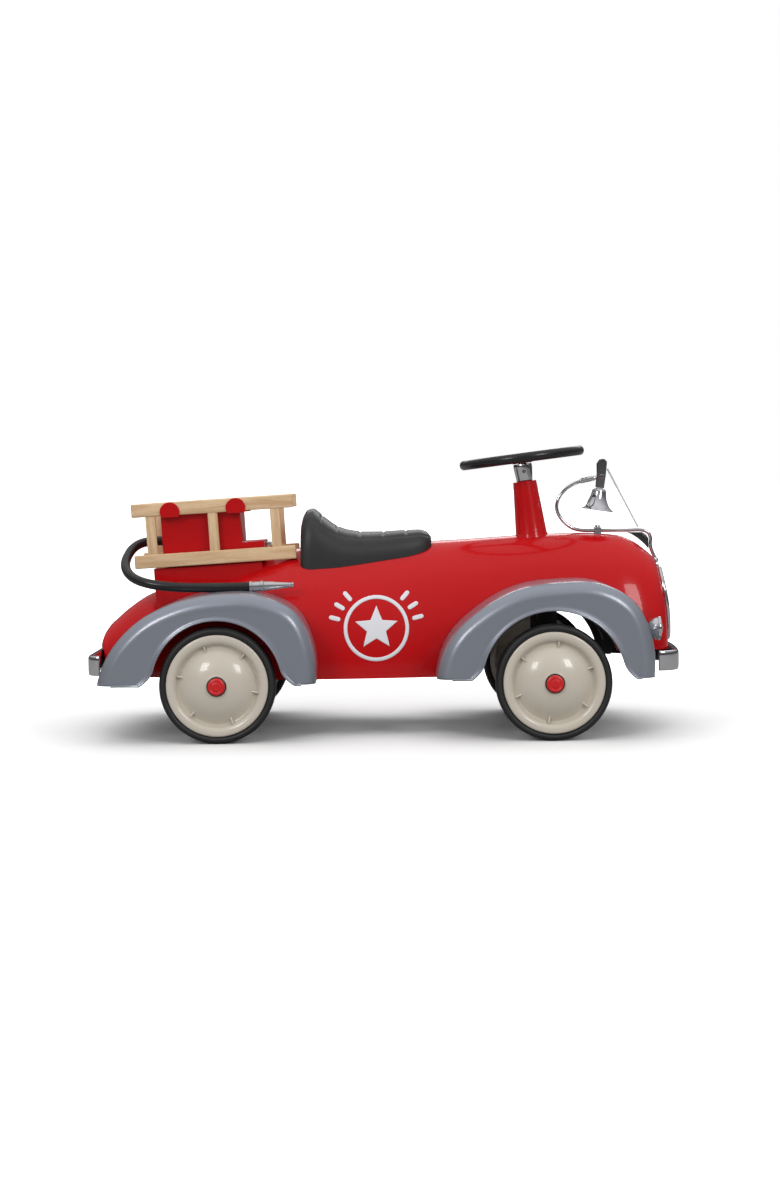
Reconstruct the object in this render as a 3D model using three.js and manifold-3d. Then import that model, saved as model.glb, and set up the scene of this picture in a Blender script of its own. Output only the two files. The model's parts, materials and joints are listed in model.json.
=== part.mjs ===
// A child's foot-to-floor ride-on fire engine with a pressed steel body, four disc wheels on
// rubber tyres, knuckle steering, a hanging bell, two lift-off ladders and a rubber hose.
// Millimetres. +X is forward, +Y is left, +Z is up. The origin is on the floor, mid length and width.
import * as THREE from 'three';
import { mergeVertices } from 'three/addons/utils/BufferGeometryUtils.js';
import Module from 'manifold-3d';

const wasm = await Module();
wasm.setup();

// ---------------------------------------------------------------- driving dimensions
const LENGTH = 740;               // over the two bumpers
const CLEARANCE = 0.4;            // gap between pieces that touch
const SHEET = 2;                  // pressed sheet, with its paint and its folded edges

const WHEEL_RADIUS = 71;
const FRONT_OVERHANG = WHEEL_RADIUS + 95;   // bumper face to front axle
const REAR_OVERHANG = WHEEL_RADIUS + 94;    // bumper face to rear axle
const TYRE_WIDTH = 28;
const WHEEL_Y = 151;              // middle of a tyre from the middle of the car
const AXLE_RADIUS = 5;
const FLANGE_RADIUS = WHEEL_RADIUS - 9;
const DOME_HEIGHT = 20;           // hub face from the tyre's middle plane
const CAP_RADIUS = 10.5;
const CAP_HEIGHT = 6;

const BODY_HALF_WIDTH = 102;      // at the seat
const BODY_FLOOR = WHEEL_RADIUS + 0.5;      // lower edge of the body's sides
const BODY_HEIGHT = 176.5;        // lower edge to the top of the bonnet
const HOOD_Z = BODY_FLOOR + BODY_HEIGHT;
const PAN_Z = WHEEL_RADIUS + 13;  // underside of the floor pan

const FENDER_OUTER_Y = 167;
const FENDER_ROUNDING = 20;
const FRONT_ARCH_GAP = 17.7;      // fender lip over the tyre
const REAR_ARCH_GAP = 9.5;

const SEAT_LENGTH = 166;
const SEAT_HALF_WIDTH = 62;
const SEAT_BACK_HEIGHT = 50;      // top of the raised back over the deck below it

const STEERING_Z = HOOD_Z + 97;   // middle of the steering wheel
const STEERING_BACK = 27;         // steering wheel's middle behind the front axle
const COLUMN_LEAN = THREE.MathUtils.degToRad(7);
const STEERING_RIM_RADIUS = 75;
const STEERING_RIM_THICKNESS = 12;
const SHAFT_RADIUS = 5;
const SHROUD_BASE_RADIUS = 21.1;
const SHROUD_TOP_RADIUS = 14.5;
const SHROUD_LENGTH = 78;
const CRANK_RADIUS = 21;          // steering shaft to its crank pin
const KNUCKLE_ARM = 35;           // kingpin to tie rod pin
const KINGPIN_Y = 118;
const KINGPIN_RADIUS = 4;
const TIE_ROD_Z = WHEEL_RADIUS + 9.6;
const TIE_ROD_THICKNESS = 3;
const PIN_RADIUS = 2.5;
const CRANK_PIN_RADIUS = 3;

const BUMPER_Z = WHEEL_RADIUS + 9;
const BUMPER_HEIGHT = 25;
const BUMPER_DEPTH = 8;
const BUMPER_HALF_WIDTH = 122;

const RACK_OVER_DECK = 0.98;       // least gap between a lower rail and the body
const RACK_BACK = 10;             // rack's middle behind the rear axle
const RACK_TILT = THREE.MathUtils.degToRad(3.3);
const LADDER_LENGTH = 205;
const LADDER_RAIL_HEIGHT = 17;
const LADDER_RAIL_SPACING = 65;
const LADDER_THICKNESS = 9;
const LADDER_Y = 46;
const RUNG_WIDTH = 12.5;
const RUNG_PITCH = 79;
const BOX_HALF_WIDTH = 38;

const BELL_BACK = 90.5;           // bell pivot behind the front bumper face
const BELL_PIVOT_Z = HOOD_Z + 72;
const BELL_LEAN = THREE.MathUtils.degToRad(8.6);
const BELL_MOUTH_RADIUS = 22;
const BRACKET_ROD_RADIUS = 2.4;
const PIVOT_RADIUS = 1.8;         // the bell's pivot pin
const HOSE_RADIUS = 6;
const HOSE_EXIT_Y = 5;            // hose's hole in the back wall of the box
const HOSE_EXIT_LIFT = 23;        // the same over the middle of the lower rails
const FAR_Y = 200;                // well clear of the car's side

// ---------------------------------------------------------------- derived places
const NOSE_X = LENGTH / 2;
const TAIL_X = -LENGTH / 2;
const FRONT_AXLE_X = NOSE_X - FRONT_OVERHANG;
const REAR_AXLE_X = TAIL_X + REAR_OVERHANG;
const STEERING_X = FRONT_AXLE_X - STEERING_BACK;
const RACK_X = REAR_AXLE_X - RACK_BACK;
const BELL_X = NOSE_X - BELL_BACK;

const model = new THREE.Group();

// ---------------------------------------------------------------- finishes
const FINISHES = {
  red: { color: 0xb80c10, roughness: 0.28, metalness: 0.1 },
  silver: { color: 0x80848e, roughness: 0.35, metalness: 0.4 },
  cream: { color: 0xd9d0bf, roughness: 0.35, metalness: 0.1 },
  chrome: { color: 0xc8c8c8, roughness: 0.12, metalness: 1.0 },
  steel: { color: 0x9a9a98, roughness: 0.45, metalness: 0.9 },
  blackSteel: { color: 0x1c1c1e, roughness: 0.5, metalness: 0.5 },
  rubber: { color: 0x17171a, roughness: 0.75, metalness: 0.0 },
  blackPlastic: { color: 0x1b1b1d, roughness: 0.45, metalness: 0.0 },
  redPlastic: { color: 0xd81e22, roughness: 0.3, metalness: 0.0 },
  wood: { color: 0xdcb67e, roughness: 0.6, metalness: 0.0 },
  lens: { color: 0xe8ecee, roughness: 0.08, metalness: 0.0 },
  cord: { color: 0xeceae4, roughness: 0.9, metalness: 0.0 },
};

function add(name, geometry, finish, parent = model) {
  const mesh = new THREE.Mesh(geometry, new THREE.MeshStandardMaterial(FINISHES[finish]));
  mesh.name = name;
  parent.add(mesh);
  return mesh;
}

// ---------------------------------------------------------------- solids and booleans
function solidOf(geometry) {
  const bare = geometry.clone();
  bare.deleteAttribute('normal');
  bare.deleteAttribute('uv');
  const merged = mergeVertices(bare, 1e-4);
  const index = Array.from(merged.index.array);
  const kept = [];
  for (let i = 0; i < index.length; i += 3) {
    const [a, b, c] = index.slice(i, i + 3);
    if (a !== b && b !== c && c !== a) {
      kept.push(a, b, c);
    }
  }
  return new wasm.Manifold(new wasm.Mesh({
    numProp: 3,
    vertProperties: new Float32Array(merged.attributes.position.array),
    triVerts: new Uint32Array(kept),
  }));
}

function geometryOf(solid) {
  const mesh = solid.getMesh();
  const geometry = new THREE.BufferGeometry();
  geometry.setAttribute('position', new THREE.BufferAttribute(new Float32Array(mesh.vertProperties), 3));
  geometry.setIndex(new THREE.BufferAttribute(new Uint32Array(mesh.triVerts), 1));
  geometry.computeVertexNormals();
  return geometry;
}

function join(first, ...others) {
  return geometryOf(others.reduce((solid, other) => solid.add(solidOf(other)), solidOf(first)));
}

function cut(first, ...tools) {
  return geometryOf(tools.reduce((solid, tool) => solid.subtract(solidOf(tool)), solidOf(first)));
}

function common(first, second) {
  return geometryOf(solidOf(first).intersect(solidOf(second)));
}

// The same piece for the other side of the car.
function mirrored(geometry) {
  const copy = geometry.index ? geometry.toNonIndexed() : geometry.clone();
  copy.scale(1, -1, 1);
  const p = copy.attributes.position;
  for (let i = 0; i < p.count; i += 3) {
    const b = new THREE.Vector3().fromBufferAttribute(p, i + 1);
    const c = new THREE.Vector3().fromBufferAttribute(p, i + 2);
    p.setXYZ(i + 1, c.x, c.y, c.z);
    p.setXYZ(i + 2, b.x, b.y, b.z);
  }
  copy.computeVertexNormals();
  return copy;
}

// ---------------------------------------------------------------- basic shapes
function block(xLow, xHigh, yLow, yHigh, zLow, zHigh) {
  const geometry = new THREE.BoxGeometry(xHigh - xLow, yHigh - yLow, zHigh - zLow);
  return geometry.translate((xLow + xHigh) / 2, (yLow + yHigh) / 2, (zLow + zHigh) / 2);
}

function at(x, y, z) {
  return new THREE.Vector3(x, y, z);
}

function bar(radius, from, to, sides = 16) {
  const way = to.clone().sub(from);
  const turn = new THREE.Quaternion().setFromUnitVectors(at(0, 1, 0), way.clone().normalize());
  const middle = from.clone().add(to).multiplyScalar(0.5);
  const geometry = new THREE.CylinderGeometry(radius, radius, way.length(), sides);
  return geometry.applyQuaternion(turn).translate(middle.x, middle.y, middle.z);
}

// A round bar across the car, from one side to the other or between two places.
function crossBar(radius, x, z, from = -FAR_Y, to = FAR_Y, sides = 16) {
  return bar(radius, at(x, from, z), at(x, to, z), sides);
}

// An upright round bar.
function post(radius, x, y, low, high, sides = 16) {
  return bar(radius, at(x, y, low), at(x, y, high), sides);
}

function extrude(points, depth, rounding, segments = 2) {
  return new THREE.ExtrudeGeometry(new THREE.Shape(points), {
    depth: depth - 2 * rounding,
    steps: 1,
    bevelEnabled: rounding > 0,
    bevelThickness: rounding,
    bevelSize: rounding,
    bevelOffset: -rounding,
    bevelSegments: segments,
  }).translate(0, 0, rounding);
}

// An outline in X and Z, extruded from yLow to yHigh.
function plateXZ(points, yLow, yHigh, rounding = 0, segments = 2) {
  return extrude(points, yHigh - yLow, rounding, segments).rotateX(Math.PI / 2).translate(0, yHigh, 0);
}

// An outline in Y and Z, extruded from xLow to xHigh.
function plateYZ(points, xLow, xHigh, rounding = 0) {
  const turn = new THREE.Matrix4().makeBasis(at(0, 1, 0), at(0, 0, 1), at(1, 0, 0));
  return extrude(points, xHigh - xLow, rounding).applyMatrix4(turn).translate(xLow, 0, 0);
}

// An outline in X and Y, extruded from zLow to zHigh.
function plateXY(points, zLow, zHigh, rounding = 0) {
  return extrude(points, zHigh - zLow, rounding).translate(0, 0, zLow);
}

function outline(pairs) {
  return pairs.map(([a, b]) => new THREE.Vector2(a, b));
}

function circle(radius, sides) {
  const points = [];
  for (let i = 0; i < sides; i++) {
    const turn = (2 * Math.PI * i) / sides;
    points.push(new THREE.Vector2(radius * Math.cos(turn), radius * Math.sin(turn)));
  }
  return points;
}

// A turned piece around Y, from pairs of radius and height, with its faces outwards.
function lathe(pairs, sides) {
  const profile = outline(pairs);
  if (THREE.ShapeUtils.area(profile) < 0) {
    profile.reverse();
  }
  return new THREE.LatheGeometry(profile, sides);
}

// The same around Z.
function turned(pairs, sides = 20) {
  return lathe(pairs, sides).rotateX(Math.PI / 2);
}

// A round rod or tube along a smooth route.
function routed(route, radius, sides, steps) {
  const path = new THREE.CatmullRomCurve3(route);
  const section = new THREE.Shape(circle(radius, sides));
  return new THREE.ExtrudeGeometry(section, { steps, bevelEnabled: false, extrudePath: path });
}

// A closed skin through rings that have the same number of points.
function loft(rings) {
  const count = rings[0].length;
  const positions = rings.flat().flatMap((point) => point.toArray());
  const index = [];
  for (let r = 0; r < rings.length - 1; r++) {
    for (let i = 0; i < count; i++) {
      const a = r * count + i;
      const b = r * count + ((i + 1) % count);
      index.push(a, b + count, b, a, a + count, b + count);
    }
  }
  const last = (rings.length - 1) * count;
  for (let i = 1; i < count - 1; i++) {
    index.push(0, i, i + 1);
    index.push(last, last + i + 1, last + i);
  }
  const geometry = new THREE.BufferGeometry();
  geometry.setAttribute('position', new THREE.Float32BufferAttribute(positions, 3));
  geometry.setIndex(index);
  return geometry;
}

// ---------------------------------------------------------------- body
// Each station is a place along the body, its lower edge over BODY_FLOOR, its top as a share of
// BODY_HEIGHT and its half width as a share of BODY_HALF_WIDTH. Tail and nose stations are counted
// from the bumper faces; those between are shares of the stretch from the last tail to the first nose.
const TAIL_STATIONS = [
  [3, 35.5, 0.235, 0.12], [5.5, 34.5, 0.275, 0.24], [8.5, 34.2, 0.312, 0.31],
  [10.5, 18, 0.33, 0.35], [16, 2.5, 0.371, 0.4], [23, 0, 0.405, 0.45], [38, 0, 0.479, 0.5],
];
const MIDDLE_STATIONS = [
  [0.048, 0.587, 0.56], [0.128, 0.674, 0.68], [0.205, 0.756, 0.81], [0.282, 0.844, 0.92],
  [0.337, 0.903, 0.98], [0.4, 0.924, 1], [0.51, 0.938, 0.95], [0.605, 0.949, 0.87],
  [0.68, 0.96, 0.82], [0.76, 0.978, 0.795], [0.84, 0.994, 0.785], [0.923, 1, 0.775],
];
const NOSE_STATIONS = [
  [73, 0, 0.983, 0.765], [51, 0, 0.938, 0.745], [36, 0, 0.877, 0.715], [26, 0, 0.827, 0.685],
  [18, 0, 0.734, 0.62], [13, 0, 0.626, 0.54], [10.8, 0, 0.5, 0.46], [10, 0, 0.37, 0.38],
];
const SECTION_POWER = 2.2;
const SECTION_STEPS = 10;

function bodyStations() {
  const tail = TAIL_STATIONS.map(([x, low, top, half]) => [TAIL_X + x, low, top, half]);
  const nose = NOSE_STATIONS.map(([x, low, top, half]) => [NOSE_X - x, low, top, half]);
  const from = tail[tail.length - 1][0];
  const to = nose[0][0];
  const middle = MIDDLE_STATIONS.map(([share, top, half]) => [from + share * (to - from), 0, top, half]);
  return [...tail, ...middle, ...nose].map(([x, low, top, half]) => ({
    x,
    low: BODY_FLOOR + low,
    top: BODY_FLOOR + top * BODY_HEIGHT,
    half: half * BODY_HALF_WIDTH,
  }));
}

// A point of a squared half round: shares of its half width and height, from one edge to the other.
function sectionPoint(share, power) {
  const turn = Math.PI * share;
  const across = Math.sign(Math.cos(turn)) * Math.abs(Math.cos(turn)) ** (2 / power);
  return [across, Math.sin(turn) ** (2 / power)];
}

// The body's outer form, grown outwards by a distance, with its open underside reached down to dropTo.
function bodyForm(grow, dropTo = null) {
  const stations = bodyStations();
  const rings = stations.map((station, i) => {
    const before = stations[Math.max(i - 1, 0)];
    const after = stations[Math.min(i + 1, stations.length - 1)];
    const slope = Math.atan2(after.top - before.top, after.x - before.x);
    const x = station.x - grow * Math.sin(slope);
    const top = station.top + grow * Math.cos(slope);
    const half = station.half + grow;
    const tucked = station.low > BODY_FLOOR;
    const low = tucked ? station.low - grow : station.low;
    const foot = tucked || dropTo === null ? low - Math.max(grow, 0) - 0.01 : dropTo;
    const ring = [at(x, -half, foot)];
    for (let k = 0; k <= SECTION_STEPS; k++) {
      const [across, up] = sectionPoint(k / SECTION_STEPS, SECTION_POWER);
      ring.push(at(x, -half * across, low + (top - low) * up));
    }
    ring.push(at(x, half, foot));
    return ring;
  });
  return loft(rings);
}

const WELL_RADIUS = WHEEL_RADIUS + FRONT_ARCH_GAP + 3;

function bodyShell() {
  const well = crossBar(WELL_RADIUS, FRONT_AXLE_X, WHEEL_RADIUS, -FAR_Y, FAR_Y, 28);
  const half = AXLE_RADIUS + 1;
  const notch = crossBar(half, REAR_AXLE_X, WHEEL_RADIUS);
  const slot = block(REAR_AXLE_X - half, REAR_AXLE_X + half, -FAR_Y, FAR_Y, 0, WHEEL_RADIUS);
  const shaftHole = steeringAxisBar(SHAFT_RADIUS + 2, SHAFT_FOOT, 0);
  return cut(bodyForm(0), bodyForm(-SHEET, BODY_FLOOR - 20), well, notch, slot, shaftHole);
}

function floorPan() {
  const front = FRONT_AXLE_X - WELL_RADIUS - 3;
  const plate = block(TAIL_X + 40, front, -FAR_Y, FAR_Y, PAN_Z, PAN_Z + SHEET);
  return common(plate, bodyForm(-SHEET - CLEARANCE, BODY_FLOOR - 20));
}

// ---------------------------------------------------------------- fenders
// Each crown is given as pairs of angle at the axle, in degrees from straight ahead, and the width
// of the band between the wheel arch and the crown there.
const REAR_CROWN_BAND = 28;       // over the rear axle
const REAR_HEEL_BAND = 67;        // behind it
const FRONT_FENDER = {
  axle: FRONT_AXLE_X,
  arch: WHEEL_RADIUS + FRONT_ARCH_GAP,
  foot: 5,
  crown: [
    [4, 35], [25, 43], [44, 49.5], [62, 45], [86, 33], [112, 32.5], [135, 37], [158, 48.5], [176, 53.5],
  ],
  flare: 12,
};
const REAR_FENDER = {
  axle: REAR_AXLE_X,
  arch: WHEEL_RADIUS + REAR_ARCH_GAP,
  foot: 1,
  crown: [
    [1, 38.5], [23, 45], [43, 49], [64, 38.5], [90, REAR_CROWN_BAND], [118, 31.5], [144, 45], [167, 60],
    [179, REAR_HEEL_BAND],
  ],
  flare: 14,
};

function polar(radius, degrees) {
  const turn = THREE.MathUtils.degToRad(degrees);
  return new THREE.Vector2(radius * Math.cos(turn), radius * Math.sin(turn));
}

// The fender's side outline down to its feet, inset by a distance.
function crownOutline(fender, inset, bottom) {
  const knots = fender.crown.map(([degrees, band]) => polar(fender.arch + band - inset, degrees));
  const crown = new THREE.SplineCurve(knots).getPoints(13);
  const place = (point) => new THREE.Vector2(fender.axle + point.x, WHEEL_RADIUS + point.y);
  const first = new THREE.Vector2(crown[0].x, bottom);
  const last = new THREE.Vector2(crown[crown.length - 1].x, bottom);
  return [first, ...crown, last].map(place);
}

// The opening over the wheel, which flares out to the two feet.
function archOutline(fender) {
  const wide = fender.arch + fender.flare;
  const narrow = fender.arch + fender.flare / 3;
  const eased = fender.foot + fender.flare * 0.8;
  const side = [[wide, fender.foot - 30], [wide, fender.foot], [narrow, eased]];
  const points = outline(side);
  for (let degrees = 18; degrees <= 162; degrees += 12) {
    points.push(polar(fender.arch, degrees));
  }
  points.push(...outline(side.reverse().map(([x, z]) => [-x, z])));
  return points.map((point) => new THREE.Vector2(fender.axle + point.x, WHEEL_RADIUS + point.y));
}

// The right-hand fender: crown and outer face in one sheet, open to the wheel and the body.
function fenderShell(fender) {
  const inner = -30;
  const deep = fender.foot - 50;
  const outer = plateXZ(crownOutline(fender, 0, deep), -FENDER_OUTER_Y, inner, FENDER_ROUNDING);
  const hollow = plateXZ(
    crownOutline(fender, SHEET, deep - 30), -FENDER_OUTER_Y + SHEET, 20, FENDER_ROUNDING - SHEET);
  const arch = plateXZ(archOutline(fender), -FAR_Y, -FENDER_OUTER_Y + FENDER_ROUNDING + 8);
  const below = block(TAIL_X - 9, NOSE_X + 9, -FAR_Y, 9, -200, WHEEL_RADIUS + fender.foot);
  const inboard = block(TAIL_X - 9, NOSE_X + 9, -45, 9, 0, BODY_FLOOR + BODY_HEIGHT);
  return cut(outer, hollow, arch, bodyForm(CLEARANCE), below, inboard);
}

// ---------------------------------------------------------------- wheels
const TYRE_BORE = FLANGE_RADIUS - 5.5;
const FLANGE_HALF = TYRE_WIDTH / 2 - 1.5;
const WHEEL_SIDES = 16;

function tyre() {
  const half = TYRE_WIDTH / 2;
  const seat = FLANGE_HALF - 1.5 - CLEARANCE;
  const bore = TYRE_BORE + CLEARANCE;
  const lip = FLANGE_RADIUS + CLEARANCE;
  return lathe([
    [bore, -seat], [lip, -seat], [lip + 3.2, -half], [WHEEL_RADIUS, 5 - half],
    [WHEEL_RADIUS, half - 5], [lip + 3.2, half], [lip, seat], [bore, seat], [bore, -seat],
  ], WHEEL_SIDES);
}

function wheelDisc() {
  const bore = AXLE_RADIUS + CLEARANCE;
  const ring = TYRE_BORE - 4;
  const face = FLANGE_HALF;
  const dome = (share, drop) => [bore + share * (ring - bore), DOME_HEIGHT - drop];
  return lathe([
    [bore, -13], [9, -13], [9, DOME_HEIGHT - SHEET],
    [dome(0.52, 0)[0], DOME_HEIGHT - 3.5 - SHEET], [ring, 4 - SHEET], [TYRE_BORE - 1.5, 4 - SHEET],
    [TYRE_BORE - 1.5, -face],
    [FLANGE_RADIUS, -face], [FLANGE_RADIUS, 1.5 - face], [TYRE_BORE, 1.5 - face],
    [TYRE_BORE, face - 1.5], [FLANGE_RADIUS, face - 1.5], [FLANGE_RADIUS, face], [ring + 1.8, face],
    [ring, 4], dome(0.82, 10.5), dome(0.52, 3.5), [12, DOME_HEIGHT], [bore, DOME_HEIGHT], [bore, -13],
  ], WHEEL_SIDES);
}

function hubCap() {
  const foot = DOME_HEIGHT + CLEARANCE;
  return lathe([
    [0, foot], [CAP_RADIUS, foot], [CAP_RADIUS, foot + CAP_HEIGHT * 0.55],
    [CAP_RADIUS * 0.75, foot + CAP_HEIGHT * 0.95], [0, foot + CAP_HEIGHT],
  ], 12);
}

function addWheel(place, axleX, side) {
  const wheel = new THREE.Group();
  wheel.position.set(axleX, side * WHEEL_Y, WHEEL_RADIUS);
  wheel.rotation.x = side < 0 ? Math.PI : 0;
  model.add(wheel);
  add(`${place}_tyre`, tyre(), 'rubber', wheel);
  add(`${place}_wheel_disc`, wheelDisc(), 'cream', wheel);
  add(`${place}_hub_cap`, hubCap(), 'redPlastic', wheel);
}

const AXLE_END_Y = WHEEL_Y + DOME_HEIGHT - 1;

function rearAxle() {
  return crossBar(AXLE_RADIUS, REAR_AXLE_X, WHEEL_RADIUS, -AXLE_END_Y, AXLE_END_Y);
}

// A saddle under the floor pan that holds the rear axle.
function axleSaddle(y) {
  const top = PAN_Z - CLEARANCE;
  const low = WHEEL_RADIUS - AXLE_RADIUS - 4;
  const body = block(REAR_AXLE_X - 11, REAR_AXLE_X + 11, y - 9, y + 9, low, top);
  const feet = block(REAR_AXLE_X - 22, REAR_AXLE_X + 22, y - 9, y + 9, top - 2.5, top);
  const bore = crossBar(AXLE_RADIUS + CLEARANCE, REAR_AXLE_X, WHEEL_RADIUS);
  return cut(join(body, feet), bore);
}

// ---------------------------------------------------------------- front axle and steering
const BEAM_HALF_X = 6;
const BEAM_HALF_Z = 5;
const FORK_LOW = WHEEL_RADIUS - 21;
const FORK_HIGH = WHEEL_RADIUS + 12;
const FORK_PLATE = 4.5;
const SLEEVE_RADIUS = 8;

function frontAxleBeam() {
  const x = FRONT_AXLE_X;
  const z = WHEEL_RADIUS - 7;
  const wall = KINGPIN_Y - SLEEVE_RADIUS - 2;
  let beam = block(x - BEAM_HALF_X, x + BEAM_HALF_X, -wall, wall, z - BEAM_HALF_Z, z + BEAM_HALF_Z);
  for (const side of [-1, 1]) {
    const inner = side * (wall - 3);
    const outer = side * (KINGPIN_Y + 7);
    const [low, high] = side > 0 ? [inner, outer] : [outer, inner];
    const fork = block(x - 7, x + 7, low, high, FORK_LOW, FORK_HIGH);
    const [mouthLow, mouthHigh] = side > 0 ? [wall, outer + 1] : [outer - 1, -wall];
    const mouth = block(x - 9, x + 9, mouthLow, mouthHigh, FORK_LOW + FORK_PLATE, FORK_HIGH - FORK_PLATE);
    const pin = post(KINGPIN_RADIUS, x, side * KINGPIN_Y, FORK_LOW - 2, FORK_HIGH + 2);
    beam = join(beam, join(cut(fork, mouth), pin));
  }
  return beam;
}

// The right-hand knuckle: a sleeve on the kingpin, the stub axle and the arm to the tie rod.
function rightKnuckle() {
  const x = FRONT_AXLE_X;
  const y = -KINGPIN_Y;
  const low = FORK_LOW + FORK_PLATE + CLEARANCE;
  const high = FORK_HIGH - FORK_PLATE - CLEARANCE;
  const sleeve = post(SLEEVE_RADIUS, x, y, low, high);
  const bore = post(KINGPIN_RADIUS + CLEARANCE, x, y, low - 5, high + 5);
  const stub = crossBar(AXLE_RADIUS, x, WHEEL_RADIUS, -AXLE_END_Y, y - 6);
  const level = TIE_ROD_Z - CLEARANCE;
  const arm = block(x - KNUCKLE_ARM - 5, x - 3, y - 4.5, y + 4.5, level - 12, level - 8);
  const boss = post(PIN_RADIUS + 2, x - KNUCKLE_ARM, y, level - 10, level);
  const pin = post(PIN_RADIUS, x - KNUCKLE_ARM, y, level - 1, level + 7, 12);
  return cut(join(sleeve, stub, arm, boss, pin), bore);
}

function steeringAxisPoint(along, aside = 0) {
  const lean = COLUMN_LEAN;
  return at(
    STEERING_X - along * Math.sin(lean) + aside * Math.cos(lean), 0,
    STEERING_Z + along * Math.cos(lean) + aside * Math.sin(lean));
}

function steeringAxisBar(radius, from, to, sides = 16) {
  return bar(radius, steeringAxisPoint(from), steeringAxisPoint(to), sides);
}

const TIE_ROD_PLAY = 0.8;         // in the left pin's hole
const CRANK_PLAY = 0.7;           // in the crank pin's slot
const SHAFT_FOOT = -(STEERING_Z - TIE_ROD_Z - 15) / Math.cos(COLUMN_LEAN);
const CRANK_X = steeringAxisPoint(SHAFT_FOOT - 15, -CRANK_RADIUS).x;

function tieRod() {
  const x = FRONT_AXLE_X - KNUCKLE_ARM;
  const low = TIE_ROD_Z;
  const high = TIE_ROD_Z + TIE_ROD_THICKNESS;
  const rod = block(x - 6, x + 6, -KINGPIN_Y - 6, KINGPIN_Y + 6, low, high);
  const tongue = block(x, CRANK_X + 11, -11, 11, low, high);
  const rightHole = post(PIN_RADIUS + CLEARANCE, x, -KINGPIN_Y, low - 5, high + 5, 12);
  const leftHole = post(PIN_RADIUS + TIE_ROD_PLAY, x, KINGPIN_Y, low - 5, high + 5, 12);
  const half = CRANK_PIN_RADIUS + CRANK_PLAY;
  const slot = block(CRANK_X - 7.5, CRANK_X + 7.5, -half, half, low - 5, high + 5);
  return cut(join(rod, tongue), rightHole, leftHole, slot);
}

function steeringShaft() {
  const shaft = steeringAxisBar(SHAFT_RADIUS, SHAFT_FOOT, -4);
  const crank = (along) => steeringAxisPoint(SHAFT_FOOT + along, -CRANK_RADIUS);
  const arm = bar(4, steeringAxisPoint(SHAFT_FOOT + 4), crank(4), 10);
  const pin = bar(CRANK_PIN_RADIUS, crank(6), crank(-19), 12);
  return join(shaft, arm, pin);
}

// A bent steel bridge inside the bonnet: it hangs the axle beam and steadies the steering shaft.
function axleBracket() {
  const x = FRONT_AXLE_X;
  const top = WHEEL_RADIUS + WELL_RADIUS + 2.5;
  const bridge = block(x - 13, x + 13, -FAR_Y, FAR_Y, top, top + 3);
  const legs = [-1, 1].map((side) => block(
    x - 13, x + 13, side * 50 - 1.5, side * 50 + 1.5, WHEEL_RADIUS - 7 - BEAM_HALF_Z - 5, top + 1));
  const window = block(
    x - BEAM_HALF_X - CLEARANCE, x + BEAM_HALF_X + CLEARANCE, -60, 60,
    WHEEL_RADIUS - 7 - BEAM_HALF_Z - CLEARANCE, WHEEL_RADIUS - 7 + BEAM_HALF_Z + CLEARANCE);
  const bore = steeringAxisBar(SHAFT_RADIUS + CLEARANCE, SHAFT_FOOT, -60);
  return common(cut(join(bridge, ...legs), window, bore), bodyForm(-SHEET - CLEARANCE, 0));
}

function steeringWheel() {
  const rim = new THREE.TorusGeometry(STEERING_RIM_RADIUS, STEERING_RIM_THICKNESS / 2, 6, 24);
  const hub = turned([[0, -7], [13, -7], [17, 1], [14, 5], [0, 5]], 14);
  const spokes = [180, 60, -60].map((degrees) => {
    const spoke = block(10, STEERING_RIM_RADIUS - 2, -8, 8, -3.5, 1.5);
    return spoke.rotateZ(THREE.MathUtils.degToRad(degrees));
  });
  const socket = post(SHAFT_RADIUS + CLEARANCE, 0, 0, -9, -4 + CLEARANCE);
  return cut(join(rim, hub, ...spokes), socket);
}

const COLLAR_TOP = -7 - CLEARANCE;
const COLLAR_HEIGHT = 24;
const SCREW_Z = COLLAR_TOP - 10;
const SCREW_RADIUS = 2;

function steeringCollar() {
  const top = COLLAR_TOP;
  const low = top - COLLAR_HEIGHT;
  const cup = turned([[0, low], [10, low], [11.8, top - 4], [11.2, top], [0, top]], 14);
  const bore = post(SHAFT_RADIUS + CLEARANCE, 0, 0, low - 5, top + 5);
  const tapped = crossBar(SCREW_RADIUS + CLEARANCE, 0, SCREW_Z, -20, 0, 10);
  return cut(cup, bore, tapped);
}

function collarScrew() {
  return crossBar(SCREW_RADIUS, 0, SCREW_Z, -13.2, -SHAFT_RADIUS - CLEARANCE, 10);
}

function columnShroud() {
  const top = COLLAR_TOP - COLLAR_HEIGHT - 1;
  const foot = top - SHROUD_LENGTH;
  const wide = SHROUD_BASE_RADIUS;
  const narrow = SHROUD_TOP_RADIUS;
  const roof = top - 2.5;
  const cone = turned([[0, foot], [wide, foot], [narrow, top], [0, top]], 16);
  const inside = turned(
    [[0, foot - 1], [wide - SHEET, foot - 1], [narrow - SHEET, roof], [0, roof]], 16);
  const bore = post(SHAFT_RADIUS + CLEARANCE, 0, 0, top - 10, top + 5);
  const shell = cut(cone, inside, bore);
  shell.rotateY(-COLUMN_LEAN).translate(STEERING_X, 0, STEERING_Z);
  return cut(shell, bodyForm(CLEARANCE));
}

// ---------------------------------------------------------------- seat
// Pairs along the seat: share of its length from the back, height of its top as a share of
// SEAT_BACK_HEIGHT over the deck, and half width as a share of SEAT_HALF_WIDTH.
const SEAT_STATIONS = [
  [0, 0.6, 0.9], [0.02, 0.84, 0.96], [0.06, 0.98, 0.99], [0.1, 0.95, 1], [0.18, 0.7, 1],
  [0.27, 0.48, 0.99], [0.36, 0.38, 0.96], [0.5, 0.31, 0.9], [0.65, 0.3, 0.83], [0.8, 0.3, 0.75],
  [0.92, 0.31, 0.66], [0.97, 0.24, 0.58], [1, 0.12, 0.45],
];
const SEAT_POWER = 3.2;
const SEAT_BACK_X = RACK_X + 108;

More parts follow.
